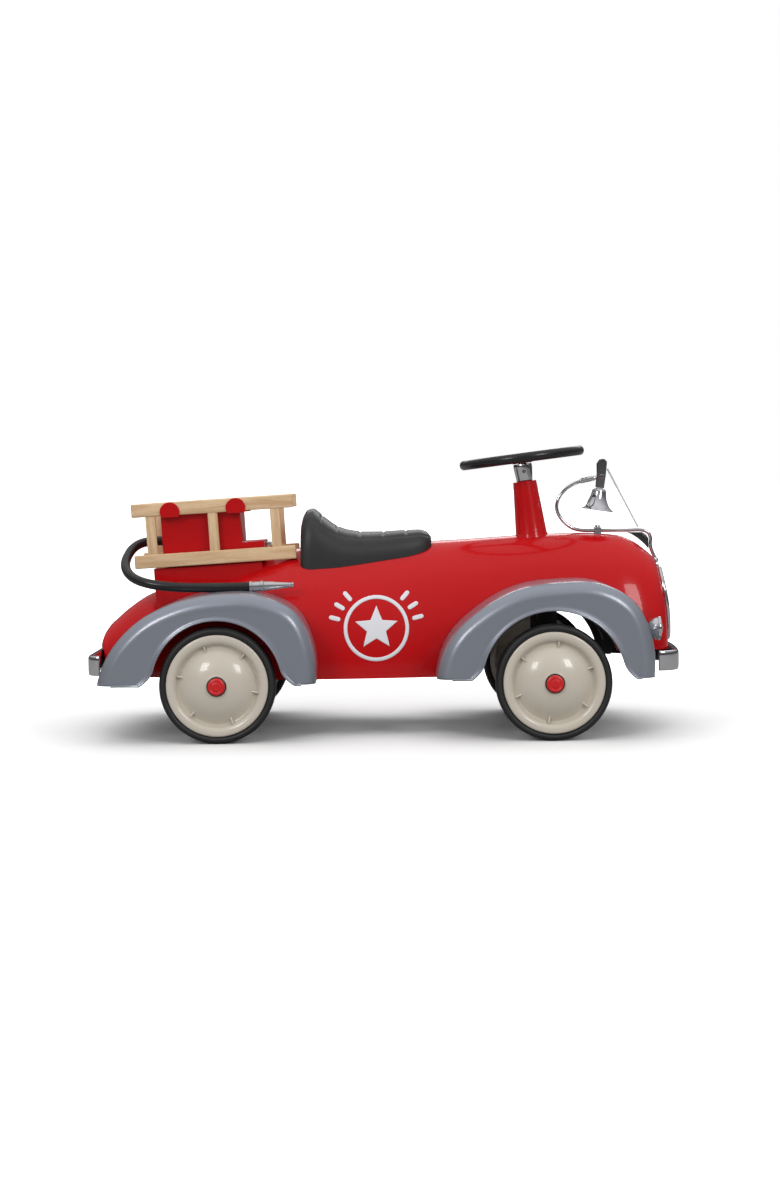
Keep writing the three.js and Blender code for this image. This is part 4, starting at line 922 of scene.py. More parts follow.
WASHER = [(5.5, 20), (11.6, 20), (12, 20.2), (12, 20.9), (11.6, 21.1), (5.5, 21.1), (5.5, 20)]
CAP = [
    (0, 21.2), (10.2, 21.2), (10.5, 21.5), (10.5, 23.6), (10.1, 24.8), (9.1, 25.6), (8, 25.8), (7.2, 25.4),
    (6.8, 25.1), (6, 25.3), (3.6, 26), (3, 26.1), (2.7, 25.7), (0, 25.6),
]
NUB_ANGLES = {"rear": (108, 49, -10, -68, -132, 166), "front": (142, 83, 22, -36, -98, 200)}
NUB = Vector((9, 2.2, 4.6)) * MM
NUB_CENTRE = Vector((46.4, 0, 7.6)) * MM
NUB_SLOPE = math.radians(-14)


def wheel_place(place_name, side):
    """The wheel's own frame: Z points out from the car along the axle."""
    spin = Vector(JOINTS[f"{'right' if side < 0 else 'left'}_{place_name}_wheel_spin"]["pos_m"])
    return Matrix.Translation(spin) @ Matrix.Rotation(-side * math.pi / 2, 4, "X")


# %% Wheels
def add_nubs(bm, place, angles, side):
    for degrees in angles:
        round_axle = Matrix.Rotation(math.radians(degrees) * -side, 4, "Z")
        tipped = Matrix.Translation(NUB_CENTRE) @ Matrix.Rotation(NUB_SLOPE, 4, "Y")
        add_block(bm, place @ round_axle @ tipped, NUB, 0.7 * MM, 3)


def wheel(place_name, side_name, side):
    label = f"{side_name}_{place_name}"
    body = f"{label}_wheel"
    place = wheel_place(place_name, side)
    tyre = spun(bmesh.new(), TYRE, place, 96)
    piece(f"{label}_rubber_tyre", outwards(tyre), body, TYRE_RUBBER, [f"{label}_tyre"], sharp=40)
    disc = outwards(spun(bmesh.new(), DISC, place, 96))
    add_nubs(disc, place, NUB_ANGLES[place_name], side)
    disc_node = f"{label}_wheel_disc"
    piece(f"{label}_pressed_disc", disc, body, CREAM_ENAMEL, [disc_node], sharp=40)
    washer = spun(bmesh.new(), WASHER, place, 40)
    piece(f"{label}_washer", outwards(washer), body, CHASSIS_BLACK)
    cap = spun(bmesh.new(), CAP, place, 48)
    piece(f"{label}_cap", outwards(cap), body, CAP_PLASTIC, [f"{label}_hub_cap"])


for place_name in ("front", "rear"):
    for side_name, side in (("right", -1), ("left", 1)):
        wheel(place_name, side_name, side)
print("four wheels")

# %% [markdown]
# ## Seat
# The seat is one soft-edged moulding. Stations give its height over the deck and its width, a high
# power squares its section, and cross grooves and a border line are pressed into the same grid.

# %% Seat
SEAT_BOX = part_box("seat")
SEAT_LENGTH = SEAT_BOX[1].x - SEAT_BOX[0].x
SEAT_HALF_WIDTH = 62 * MM
SEAT_BACK_HEIGHT = 50 * MM
SEAT_STATIONS = [
    (0, 0.6, 0.9), (0.015, 0.8, 0.95), (0.05, 0.96, 0.985), (0.085, 0.98, 1), (0.13, 0.88, 1),
    (0.18, 0.72, 1), (0.27, 0.5, 0.99), (0.36, 0.38, 0.96), (0.5, 0.31, 0.9), (0.65, 0.3, 0.83),
    (0.8, 0.31, 0.75), (0.9, 0.31, 0.67), (0.965, 0.25, 0.58), (1, 0.12, 0.45),
]
GROOVES = [0.157, 0.277, 0.452, 0.633, 0.807]
GROOVE_WIDTH = 1.6 * MM
GROOVE_DEPTH = 1.5 * MM
BORDER_WIDTH = 1.5 * MM
BORDER_DEPTH = 1.0 * MM
PANEL_SHARE = 0.8
TOP_SHARE = 0.7
SEAT_POWER = 3.2
SEAT_SHARES, SEAT_HEIGHTS, SEAT_WIDTHS = zip(*SEAT_STATIONS)
SEAT_HEIGHT = swelling_curve(SEAT_SHARES, SEAT_HEIGHTS)
SEAT_WIDTH = swelling_curve(SEAT_SHARES, SEAT_WIDTHS)


def seat_point(across, along):
    """Closed section: TOP_SHARE of it goes over the top, the rest comes back along the deck."""
    height, width = SEAT_HEIGHT(along), SEAT_WIDTH(along)
    x = SEAT_BOX[0].x + along * SEAT_LENGTH
    half = width * SEAT_HALF_WIDTH
    low = deck_z(x, half) - 0.5 * MM
    if across < TOP_SHARE:
        turn = math.pi * across / TOP_SHARE
        side = math.copysign(abs(math.cos(turn)) ** (2 / SEAT_POWER), math.cos(turn))
        top = deck_z(x, 0) + height * SEAT_BACK_HEIGHT
        rise = abs(math.sin(turn)) ** (2 / SEAT_POWER)
        y = -half * side
        z = low + (top - low) * rise
        panel = max(0.0, 1 - (abs(y) / (half * PANEL_SHARE)) ** 8)
        for groove in GROOVES:
            away = (along - groove) * SEAT_LENGTH / GROOVE_WIDTH
            z -= GROOVE_DEPTH * math.exp(-away * away) * panel
        away = (abs(y) - half * PANEL_SHARE) / BORDER_WIDTH
        if rise > 0.6:
            z -= BORDER_DEPTH * math.exp(-away * away)
        return Vector((x, y, max(z, deck_z(x, y) + 0.5 * MM)))
    share = (across - TOP_SHARE) / (1 - TOP_SHARE)
    y = half * (1 - 2 * share)
    return Vector((x, y, deck_z(x, y) + 0.4 * MM))


def seat():
    bm = bmesh.new()
    verts = gridded(bm, 90, 200, seat_point)
    bmesh.ops.remove_doubles(bm, verts=verts, dist=MERGE_REACH)
    rims = [e for e in bm.edges if e.is_boundary]
    bmesh.ops.holes_fill(bm, edges=rims, sides=0)
    return piece("moulded_saddle", outwards(bm), "root", SEAT_PLASTIC, ["seat"], sharp=50)


SEAT = seat()
print("saddle", len(SEAT.data.polygons), "faces")

# %% [markdown]
# ## Steering wheel, collar and shroud
# All three share the leaning column, so they are made upright on the column's axis and tipped
# together. The rim is a circle spun round, the spokes are tapered blocks with rounded edges, and
# the red cone stands on the bonnet with its foot drawn down to the curve of the body.

# %% Steering column
RIM_RADIUS = 75
RIM_HALF = 5.7
SPOKE = Vector((61, 15, 4.6)) * MM
SPOKE_CENTRE = Vector((41.5, 0, -0.8)) * MM
SPOKE_TAPER = (0.8, 1.05)


def steering_wheel():
    rim = [
        (RIM_RADIUS + RIM_HALF * 0.95 * math.cos(k * TURN / 28), RIM_HALF * 1.08 * math.sin(k * TURN / 28))
        for k in range(29)
    ]
    hub = [
        (0, -6.9), (12.2, -6.9), (13.2, -6), (15.4, -1.5), (16.8, 1.2), (16.6, 2.6), (15, 3.4), (13.4, 3.6),
        (12.8, 4.4), (11.4, 5), (0, 5.3),
    ]
    spider = outwards(spun(bmesh.new(), hub, COLUMN, 64))
    for degrees in (180, 60, -60):
        where = Matrix.Rotation(math.radians(degrees), 4, "Z") @ Matrix.Translation(SPOKE_CENTRE)
        add_block(spider, COLUMN @ where, SPOKE, 1.6 * MM, taper=SPOKE_TAPER)
    bm = outwards(spun(bmesh.new(), rim, COLUMN, 128))
    piece("steering_rim", bm, "steering", WHEEL_PLASTIC, ["steering_wheel"])
    piece("steering_spider", spider, "steering", WHEEL_PLASTIC)


def collar():
    profile = [
        (5.5, -31.3), (9.4, -31.3), (9.9, -30.8), (10.2, -29.6), (11, -22), (11.7, -15), (12, -11.6),
        (11.9, -9.4), (11.5, -8), (10.9, -7.5), (5.5, -7.5), (5.5, -31.3),
    ]
    bm = spun(bmesh.new(), profile, COLUMN, 64)
    piece("collar_cup", outwards(bm), "steering", CHROME, ["steering_collar"])
    screw = [(0, 0), (2.3, 0), (2.4, 0.2), (2.4, 7.6), (2.1, 8), (1.3, 8), (1.2, 6.6), (0, 6.4)]
    aim = COLUMN @ Matrix.Translation((0, -5.6 * MM, -17.4 * MM)) @ Matrix.Rotation(math.pi / 2, 4, "X")
    bm = spun(bmesh.new(), screw, aim, 24)
    piece("set_screw", outwards(bm), "steering", ZINC, ["collar_screw"])


def shroud():
    """The cone is spun to a level foot, whose ring is then slid down the column onto the bonnet."""
    top, foot = -32.4, -110.4
    profile = [
        (21.1, foot), (20, -98), (17.2, -60), (14.9, top + 2), (14.4, top + 0.6), (13.6, top),
        (5.6, top), (5.6, top - 2), (13, top - 2.4), (19.1, foot), (21.1, foot),
    ]
    bm = outwards(spun(bmesh.new(), profile, COLUMN, 72))
    column_down = COLUMN.to_3x3() @ Vector((0, 0, -1))
    for vert in bm.verts:
        floor = deck_z(vert.co.x, vert.co.y) + 0.3 * MM
        if vert.co.z < STEERING.z + (foot + 8) * MM * math.cos(COLUMN_LEAN):
            vert.co += column_down * ((vert.co.z - floor) / -column_down.z)
    piece("shroud_cone", bm, "root", RED_ENAMEL, ["column_shroud"])


steering_wheel()
collar()
shroud()
print("steering column")

# %% [markdown]
# ## Bumpers
# A bumper is a thick chromed bar with soft corners. Its plan is a shallow bow with rounded returns,
# and one rounded section is carried along that line.

# %% Bumpers
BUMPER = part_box("front_bumper")
BUMPER_Z = (BUMPER[0].z + BUMPER[1].z) / 2
BUMPER_HALF_HEIGHT = (BUMPER[1].z - BUMPER[0].z) / 2
BUMPER_HALF_WIDTH = BUMPER[1].y
BUMPER_DEPTH = 8 * MM


def bumper_line(bow, corner, face, way):
    """The middle line of the bar, from one return to the other."""
    inset = BUMPER_DEPTH / 2
    straight = BUMPER_HALF_WIDTH - corner
    points = [(-inset - bow * (k / 16) ** 2, k / 16 * straight) for k in range(-16, 17)]
    radius = corner - inset
    ends = []
    for k in range(1, 15):
        turn = k / 14 * math.pi / 2
        back, out = radius * math.cos(turn), radius * math.sin(turn)
        ends.append((-bow - corner + back, BUMPER_HALF_WIDTH - inset - radius + out))
    points = [(x, -y) for x, y in reversed(ends)] + points + ends
    return [Vector((face + way * x, y, BUMPER_Z)) for x, y in points]


def flattened(value):
    """Turn a sine or cosine into the squarer one of a superellipse."""
    return math.copysign(abs(value) ** (2 / 5), value)


def bumper_section(turn, share):
    """A tall rounded bar: its thickness, then its height."""
    return BUMPER_DEPTH / 2 * flattened(math.cos(turn)), BUMPER_HALF_HEIGHT * flattened(math.sin(turn))


def bumper(name, bow, corner, face, way, node_name):
    line = bumper_line(bow, corner, face, way)
    bm = carried(bmesh.new(), line, bumper_section, 40, up=Vector((0, 0, 1)))
    piece(name, outwards(bm), "root", CHROME, [node_name], sharp=50)


REAR_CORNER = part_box("rear_bumper")[1].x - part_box("rear_bumper")[0].x - 0.5 * MM
bumper("front_chrome_bumper", 5 * MM, 28 * MM, NOSE_X, 1, "front_bumper")
bumper("rear_chrome_bumper", 0.5 * MM, REAR_CORNER, TAIL_X, -1, "rear_bumper")
print("bumpers")

# %% [markdown]
# ## Grille, lamps and nose knob
# The grille lies on the curve of the nose, so its rim and bars are lines laid on the body's form and
# given a round section. A dark panel closes the gaps. The lamps are spun shells with domed lenses.

# %% Grille
GRILLE_OUTLINE = [
    (-26, 114), (26, 114), (33, 123), (36.5, 150), (35.5, 176), (28, 193), (14.5, 202), (-14.5, 202),
    (-28, 193), (-35.5, 176), (-36.5, 150), (-33, 123), (-26, 114),
]
GRILLE_MIDDLE = 158
BAR_PITCH = 9
BAR_REACH = 40
PANEL_WIDTH = 58
PANEL_HEIGHT = 84


def on_nose(y, z, proud):
    return Vector((nose_x(y * MM, z * MM) + proud * MM, y * MM, z * MM))


def grille():
    flat = along_curve([Vector((y, z, 0)) for y, z in GRILLE_OUTLINE], 120)
    rim = [on_nose(p.x, p.y, 1.6) for p in flat]
    bm = carried(bmesh.new(), rim, round_section(2.9 * MM), 14, capped=False)
    piece("grille_rim", outwards(bm), "root", CHROME, ["grille_frame"])
    bars = bmesh.new()
    for k in range(-3, 4):
        y = k * BAR_PITCH
        reach = BAR_REACH - abs(y) * 0.45
        line = [on_nose(y, GRILLE_MIDDLE + reach * (i / 12 - 1), 1.2) for i in range(25)]
        carried(bars, line, round_section(1.5 * MM), 10)
    piece("grille_bar_set", outwards(bars), "root", CHROME, ["grille_bars"])


def backing_point(u, v):
    """A panel on the nose, narrower at its top and foot."""
    narrowing = 1 - 0.35 * abs(2 * v - 1) ** 4
    return on_nose((u - 0.5) * PANEL_WIDTH * narrowing, GRILLE_MIDDLE + (v - 0.5) * PANEL_HEIGHT, 0.5)


def grille_backing():
    bm = bmesh.new()
    gridded(bm, 24, 40, backing_point)
    away_from(bm, (0.2, 0, 0.15))
    panel = piece("grille_backing", bm, "root", CHASSIS_BLACK)
    add_wall(panel, 0.4 * MM, 1)


grille()
grille_backing()
print("grille")

# %% Lamps and nose knob
LAMP_Y = 95 * MM
LAMP_Z = 131 * MM
STALK_RADIUS = 2.6 * MM
KNOB_LEAN = 0.7


def headlamp(side_name, side):
    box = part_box(f"{side_name}_headlamp")
    centre = Vector((box[0].x, side * LAMP_Y, LAMP_Z))
    place = Matrix.Translation(centre) @ Matrix.Rotation(math.pi / 2, 4, "Y")
    bucket = [
        (0, 0), (4, 0.2), (8, 1.2), (11.2, 3.4), (13.2, 6.8), (14.1, 10), (14.4, 11.6), (15, 12.2),
        (15.2, 13.4), (15, 15), (14.4, 15.9), (13.6, 16.1), (13, 15.6), (12.8, 14), (12.2, 10), (9, 6),
        (0, 4),
    ]
    bm = spun(bmesh.new(), bucket, place, 64)
    piece(f"{side_name}_lamp_bucket", outwards(bm), "root", CHROME, [f"{side_name}_headlamp"])
    lens = [
        (0, 12.2), (12.2, 12.2), (12.4, 12.6), (12.4, 14.4), (11.6, 15.6), (9.2, 17), (5, 18.4), (0, 18.9),
    ]
    bm = spun(bmesh.new(), lens, place, 64)
    lens_node = f"{side_name}_headlamp_lens"
    piece(f"{side_name}_lamp_lens", outwards(bm), "root", LENS_GLASS, [lens_node])
    route = [(6, 0, -12), (2, 6, -20), (-2, 20, -27), (-4, 40, -31)]
    stalk = along_curve([centre + Vector((x, -side * y, z)) * MM for x, y, z in route], 16)
    bm = carried(bmesh.new(), stalk, round_section(STALK_RADIUS), 16)
    piece(f"{side_name}_lamp_stalk", outwards(bm), "root", CHROME)


def nose_button():
    knob = [
        (0, 0), (2.3, 0), (2.3, 3), (3.2, 4), (4, 5), (4.3, 6.5), (4, 8), (3, 9.4), (1.6, 10.2), (0, 10.5),
    ]
    foot = Matrix.Translation((NOSE_X - 26 * MM, 0, BODY_FLOOR + 0.79 * BODY_HEIGHT - 3 * MM))
    place = foot @ Matrix.Rotation(math.pi / 2 - KNOB_LEAN, 4, "Y")
    bm = spun(bmesh.new(), knob, place, 32)
    piece("nose_button", outwards(bm), "root", CHROME, ["nose_knob"])


for side_name, side in (("right", -1), ("left", 1)):
    headlamp(side_name, side)
nose_button()
print("lamps and knob")

# %% [markdown]
# ## Bell and its bracket
# One bent rod carries the bell: it rises from the grille, runs back along the bonnet and loops up to
# the pivot. The bell is spun with a thick sound bow. Its clapper has a joint of its own, and a
# twisted cord runs from the rod up to the yoke.

# %% Bracket rod
BELL_PIVOT = Vector(JOINTS["bell_swing"]["pos_m"])
BELL_LEAN = math.radians(8.6)
BELL = Matrix.Translation(BELL_PIVOT) @ Matrix.Rotation(BELL_LEAN, 4, "Y")
ROD_FRONT = NOSE_X / MM - 27
ROD_Z = (BODY_FLOOR + BODY_HEIGHT) / MM + 2.8
ROD_RADIUS = 2.3
SLEEVE_RADIUS = 3.5
PIVOT_ACROSS = Matrix.Translation(BELL_PIVOT) @ Matrix.Rotation(math.pi / 2, 4, "X")
LOOP = [
    (-34, 2 + ROD_Z - 320), (-43.5, -62), (-51.5, -54), (-57, -43.5), (-57, -33), (-53, -24),
    (-45.5, -15.5), (-36, -9), (-25, -5), (-12, -2), (-7, -1),
]


def sleeve_section(turn, share):
    """A round sleeve, smaller at both ends and in one shallow groove."""
    at_end = share in (0, 1)
    in_groove = 0.3 < share < 0.4
    radius = MM * (SLEEVE_RADIUS - 0.5 * at_end - 0.25 * in_groove)
    return radius * math.cos(turn), radius * math.sin(turn)


def bracket_rod():
    front = [(0, -40), (0, -22), (0, -11), (-3, -3.5), (-11, 0), (-30, 0), (-58, 0), (-84, 0)]
    points = [Vector((ROD_FRONT + x, 0, ROD_Z + z)) * MM for x, z in front]
    points += [BELL_PIVOT + Vector((x, 0, z)) * MM for x, z in LOOP]
    bottom = points[0]
    points[0] = Vector((nose_x(0, bottom.z) + 2.4 * MM, 0, bottom.z))
    bm = carried(bmesh.new(), along_curve(points, 150), round_section(ROD_RADIUS * MM), 20)
    sleeve = [BELL_PIVOT + Vector((x, 0, z)) * MM for x, z in ((-27, -5.3), (-8, -1.2))]
    sleeve_line = [sleeve[0].lerp(sleeve[1], k / 12) for k in range(13)]
    carried(bm, sleeve_line, sleeve_section, 24)
    eye = [(1.9, -3.2), (4.2, -3.2), (4.6, -2.8), (4.6, 2.8), (4.2, 3.2), (1.9, 3.2), (1.9, -3.2)]
    spun(bm, eye, PIVOT_ACROSS, 40)
    piece("bell_rod", outwards(bm), "root", CHROME, ["bell_bracket"])


def bell_pin():
    profile = [
        (0, -8.4), (2.6, -8.4), (3, -8), (3, -6.8), (2.6, -6.4), (1.75, -6.4), (1.75, 6.4), (2.6, 6.4),
        (3, 6.8), (3, 8), (2.6, 8.4), (0, 8.4),
    ]
    bm = spun(bmesh.new(), profile, PIVOT_ACROSS, 32)
    piece("bell_pivot_pin", outwards(bm), "root", CHROME, ["bell_pin"])


bracket_rod()
bell_pin()
print("bell bracket")


# %% Bell, clapper and cord
def bell():
    profile = [
        (0, -14.9), (4.6, -14.9), (6.4, -15.2), (8, -16.2), (8.9, -17.8), (9.3, -20), (9.9, -24), (11, -28),
        (12.6, -32), (14.4, -35.4), (16.6, -38.4), (19, -40.6), (21.2, -42), (22, -42.9), (21.9, -43.5),
        (21, -43.6), (18.6, -42.4), (16, -40), (13.6, -36.8), (11.8, -33.2), (10, -28.6), (8.8, -24),
        (8, -20), (7.2, -18), (5.2, -17.3), (0, -17.2),
    ]
    bm = spun(bmesh.new(), profile, BELL, 96)
    piece("chrome_bell", outwards(bm), "bell", CHROME, ["bell"])
    tongue = [
        (0, -17.7), (1.6, -17.8), (1.9, -19), (1.2, -20.4), (1.1, -33), (1.6, -35.4), (3, -37),
        (3.5, -38.8), (3, -40.8), (1.6, -42), (1, -43.2), (0, -43.8),
    ]
    bm = spun(bmesh.new(), tongue, BELL, 32)
    piece("bell_tongue", outwards(bm), "clapper", ZINC, ["bell_clapper"])


CORD_TOP = BELL_PIVOT + Vector((8, 0, 10)) * MM
CORD_FOOT = Vector((ROD_FRONT - 16, 0, ROD_Z + 3.8)) * MM
CORD_RADIUS = 1.05 * MM
STRAND_RISE = 0.2 * MM
CORD_TWIST = 34


def cord_point(around, along):
    """Three strands twist round the straight line from the cord's foot to its top."""
    turn = around * TURN
    sideways = (CORD_TOP - CORD_FOOT).normalized().cross(Vector((0, 1, 0))).normalized()
    radius = CORD_RADIUS + STRAND_RISE * abs(math.cos(1.5 * turn - CORD_TWIST * along))
    centre = CORD_FOOT.lerp(CORD_TOP, along)
    return centre + sideways * radius * math.cos(turn) + Vector((0, 1, 0)) * radius * math.sin(turn)


def bell_cord():
    bm = bmesh.new()
    gridded(bm, 24, 260, cord_point)
    bmesh.ops.remove_doubles(bm, verts=bm.verts, dist=MERGE_REACH)
    bmesh.ops.holes_fill(bm, edges=[e for e in bm.edges if e.is_boundary], sides=0)
    obj = object_from("twisted_cord", outwards(bm), CORD_FIBRE)
    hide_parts("bell_cord")
    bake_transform(obj)


bell()
bell_cord()
print("bell, clapper and cord")

# %% [markdown]
# ## Ladders
# Each ladder is two rails and three rungs in pine, with the arrises taken off. The rails and the
# rungs are separate pieces because their grain runs different ways.

# %% Ladders
RACK = Vector((-215, 0, 222.7)) * MM
LADDER_LENGTH = 205
RAIL_HEIGHT = 17
RAIL_SPACING = 65
LADDER_THICKNESS = 9
RUNG_PITCH = 79
RUNG_WIDTH = 12.5
RUNG_TENON = 2
LADDER_Y = 46


def rack_place(y):
    return Matrix.Translation(RACK + Vector((0, y * MM, 0))) @ Matrix.Rotation(-RACK_TILT, 4, "Y")


def softened_block(bm, place, centre, size, rounding):
    """A block whose centre, size and rounding are in millimetres."""
    where = place @ Matrix.Translation(Vector(centre) * MM)
    add_block(bm, where, Vector(size) * MM, rounding * MM)


def ladder(side_name, side):
    place = rack_place(side * LADDER_Y)
    rails = bmesh.new()
    for z in (0, RAIL_SPACING):
        softened_block(rails, place, (0, 0, z), (LADDER_LENGTH, LADDER_THICKNESS, RAIL_HEIGHT), 1.6)
    body = f"{side_name}_ladder"
    piece(f"{side_name}_ladder_rails", rails, body, PINE_ALONG, [body], sharp=50)
    rungs = bmesh.new()
    rung = (RUNG_WIDTH, LADDER_THICKNESS - 2, RAIL_SPACING - RAIL_HEIGHT + 2 * RUNG_TENON)
    for k in (-1, 0, 1):
        softened_block(rungs, place, (k * RUNG_PITCH, 0, RAIL_SPACING / 2), rung, 1.4)
    piece(f"{side_name}_ladder_rungs", rungs, body, PINE_UPRIGHT, sharp=50)


for side_name, side in (("right", -1), ("left", 1)):
    ladder(side_name, side)
print("ladders")

# %% [markdown]
# ## Pieces that keep their design shape
# The box, its base, the bell's yoke and the working parts under the car already have their real
# shape. Each is copied, its loose triangles merged and its flat faces dissolved, and a bevel then
# takes the hard corner off, because no real sheet or casting has a perfect edge.


# %% Dressed copies
def dressed(node_name, body, material, slot, edge):
    """A node's own shape with its edges bevelled by a width in millimetres."""
    bm = bmesh.new()
    bm.from_mesh(frame["nodes"][node_name].data)
    bmesh.ops.remove_doubles(bm, verts=bm.verts, dist=0.00002)
    bmesh.ops.dissolve_limit(
        bm, angle_limit=math.radians(1.5), use_dissolve_boundaries=False, verts=bm.verts, edges=bm.edges)
    obj = piece(f"{node_name}_finished", bm, body, material, [node_name])
    soft = obj.modifiers.new("soft_edge", "BEVEL")
    soft.width = edge * MM
    soft.segments = 3
    soft.limit_method = "ANGLE"
    soft.angle_limit = math.radians(35)
    soft.use_clamp_overlap = True


DRESSED = [
    ("equipment_box", "root", RED_ENAMEL, "red_paint", 0.6),
    ("box_base", "root", RED_ENAMEL, "red_paint", 1.2),
    ("box_latch", "root", CHROME, "chrome", 0.8),
    ("bell_yoke", "bell", CHROME, "chrome", 0.4),
    ("rod_clamp", "root", CHROME, "chrome", 0.5),
    ("floor_pan", "root", DARK_UNDERSIDE, "black_paint", 0.4),
    ("rear_bumper_mount", "root", CHASSIS_BLACK, "black_paint", 0.8),
    ("rear_axle", "root", ZINC, "steel", 0.6),
    ("right_axle_saddle", "root", CHASSIS_BLACK, "black_paint", 0.8),
    ("left_axle_saddle", "root", CHASSIS_BLACK, "black_paint", 0.8),
    ("front_axle_beam", "root", CHASSIS_BLACK, "black_paint", 0.8),
    ("front_axle_bracket", "root", CHASSIS_BLACK, "black_paint", 0.5),
    ("right_knuckle", "right_knuckle", CHASSIS_BLACK, "black_paint", 0.6),
    ("left_knuckle", "left_knuckle", CHASSIS_BLACK, "black_paint", 0.6),
    ("tie_rod", "tie_rod", ZINC, "steel", 0.5),
    ("steering_shaft", "steering", ZINC, "steel", 0.4),
]
for row in DRESSED:
    dressed(*row)
print("dressed", len(DRESSED), "pieces")

# %% Bumper mount and gusset
MOUNT_START = 318
RISER_CENTRE = (338, 0, 103)
RISER_SIZE = (26, 44, 14)


def front_mount():
    """An arm out to the bumper and a block that rises from it to the nose."""
    low, high = (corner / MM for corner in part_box("front_bumper_mount"))
    middle = ((MOUNT_START + high.x) / 2, 0, (low.z + high.z) / 2)
    bm = bmesh.new()
    softened_block(bm, Matrix.Identity(4), middle, (high.x - MOUNT_START, 52, high.z - low.z), 1.5)
    softened_block(bm, Matrix.Identity(4), RISER_CENTRE, RISER_SIZE, 1.5)
    piece("front_mount_bracket", bm, "root", CHASSIS_BLACK, ["front_bumper_mount"])


def gusset():
    """A plate that fills the corner of the bracket rod, drawn from the rod's bend."""
    thickness = 3 * MM
    outline = [
        (-31, -2.7), (-24, -5.6), (-16, -11), (-9, -17), (-2.8, -24), (-2.8, -11), (-5.8, -5.5),
        (-11, -2.7),
    ]
    bm = bmesh.new()
    verts = [bm.verts.new(((ROD_FRONT + x) * MM, -thickness / 2, (ROD_Z + z) * MM)) for x, z in outline]
    face = bm.faces.new(verts)
    made = bmesh.ops.extrude_face_region(bm, geom=[face], use_keep_orig=True)
    moved = [g for g in made["geom"] if isinstance(g, bmesh.types.BMVert)]
    bmesh.ops.translate(bm, vec=(0, thickness, 0), verts=moved)
    outwards(bm)
    edges = [e for e in bm.edges if e.calc_face_angle(0) > 0.5]
    bmesh.ops.bevel(bm, geom=edges, offset=0.4 * MM, segments=2, profile=0.5, affect="EDGES", material=-1)
    piece("bracket_gusset", bm, "root", DARK_STEEL, ["bracket_web"])


front_mount()
gusset()
print("mount and gusset")

# %% [markdown]
# ## Side badge
# A plain printed roundel on each flank: a ring with a five-pointed star in it and a fan of short
# rays over each shoulder. Each mark is drawn flat, pushed onto the body's surface and given a
# hair's thickness, so it follows the curve of the sheet.

# %% Side badge
BADGE = Vector((-11.7, 133.8))
RING_OUTER = 40.8
RING_INNER = 36.2
STAR_OUTER = 28
STAR_INNER = 12.5
RAY_ANGLES = (14, 31, 48)
RAY_REACH = (46, 61)
RAY_WIDTH = 5.5
PRINT_THICKNESS = 0.12 * MM


def on_flank(x, z, side):
    x, z = (BADGE.x + x) * MM, (BADGE.y + z) * MM
    return Vector((x, side * (side_y(x, z) + 0.15 * MM), z))


def star_radius(turn):
    """Radius of a five-pointed star's straight-sided outline."""
    step = TURN / 10
    share = ((turn - TURN / 4) % (2 * step)) / step
    share = share if share <= 1 else 2 - share
    a, b = Vector((STAR_OUTER, 0)), Vector((STAR_INNER * math.cos(step), STAR_INNER * math.sin(step)))
    heading = Vector((math.cos(share * step), math.sin(share * step)))
    edge = b - a
    return (a.x * edge.y - a.y * edge.x) / (heading.x * edge.y - heading.y * edge.x)


# %% Ring, star and rays
def ring(side):
    def place(u, v):
        radius = RING_INNER + v * (RING_OUTER - RING_INNER)
        return on_flank(radius * math.cos(u * TURN), radius * math.sin(u * TURN), side)

    return place


def star(side):
    def place(u, v):
        radius = star_radius(u * TURN) * max(v, 0.001)
        return on_flank(radius * math.cos(u * TURN), radius * math.sin(u * TURN), side)

    return place


def ray(side, degrees):
    turn = math.radians(degrees)

    def place(u, v):
        along = RAY_REACH[0] + v * (RAY_REACH[1] - RAY_REACH[0])
        across = (u - 0.5) * RAY_WIDTH * math.sqrt(max(0.0, 1 - abs(2 * v - 1) ** 6))
        return on_flank(
            along * math.cos(turn) - across * math.sin(turn),
            along * math.sin(turn) + across * math.cos(turn), side)

    return place


def badge(side_name, side):
    bm = bmesh.new()
    gridded(bm, 144, 3, ring(side))
    gridded(bm, 120, 10, star(side))
    for degrees in RAY_ANGLES:
        gridded(bm, 4, 12, ray(side, degrees))
        gridded(bm, 4, 12, ray(side, 180 - degrees))
    away_from(bm, (BADGE.x * MM, 0, BADGE.y * MM))
    for face in bm.faces:
        if face.normal.y * side < 0:
            face.normal_flip()
    obj = piece(f"{side_name}_badge", bm, "root", WHITE_PRINT)
    add_wall(obj, PRINT_THICKNESS, 1)


for side_name, side in (("right", -1), ("left", 1)):
    badge(side_name, side)
print("badges")

# %% [markdown]
# ## Studio
# The floor is pale and runs out into white, so it has no edge. A broad soft box hangs overhead, and
# two smaller ones stand in front, left and right, to draw the round highlights on domes and paint.
# A fourth lights the far side. Plating needs something dark to mirror, so mirrored rays see a dim
# room under a bright ceiling.

# %% Floor
FLOOR_SEEN_BY_PAINT = (0.3, 0.3, 0.3)
FLOOR_SEEN_BY_CAMERA = (0.95, 0.95, 0.95)


def by_ray(tree, kind, otherwise, chosen):
    """One colour for a kind of ray and another for the rest."""
    path = node(tree, "ShaderNodeLightPath")
    return mixed(tree, path.outputs[kind], otherwise, chosen)


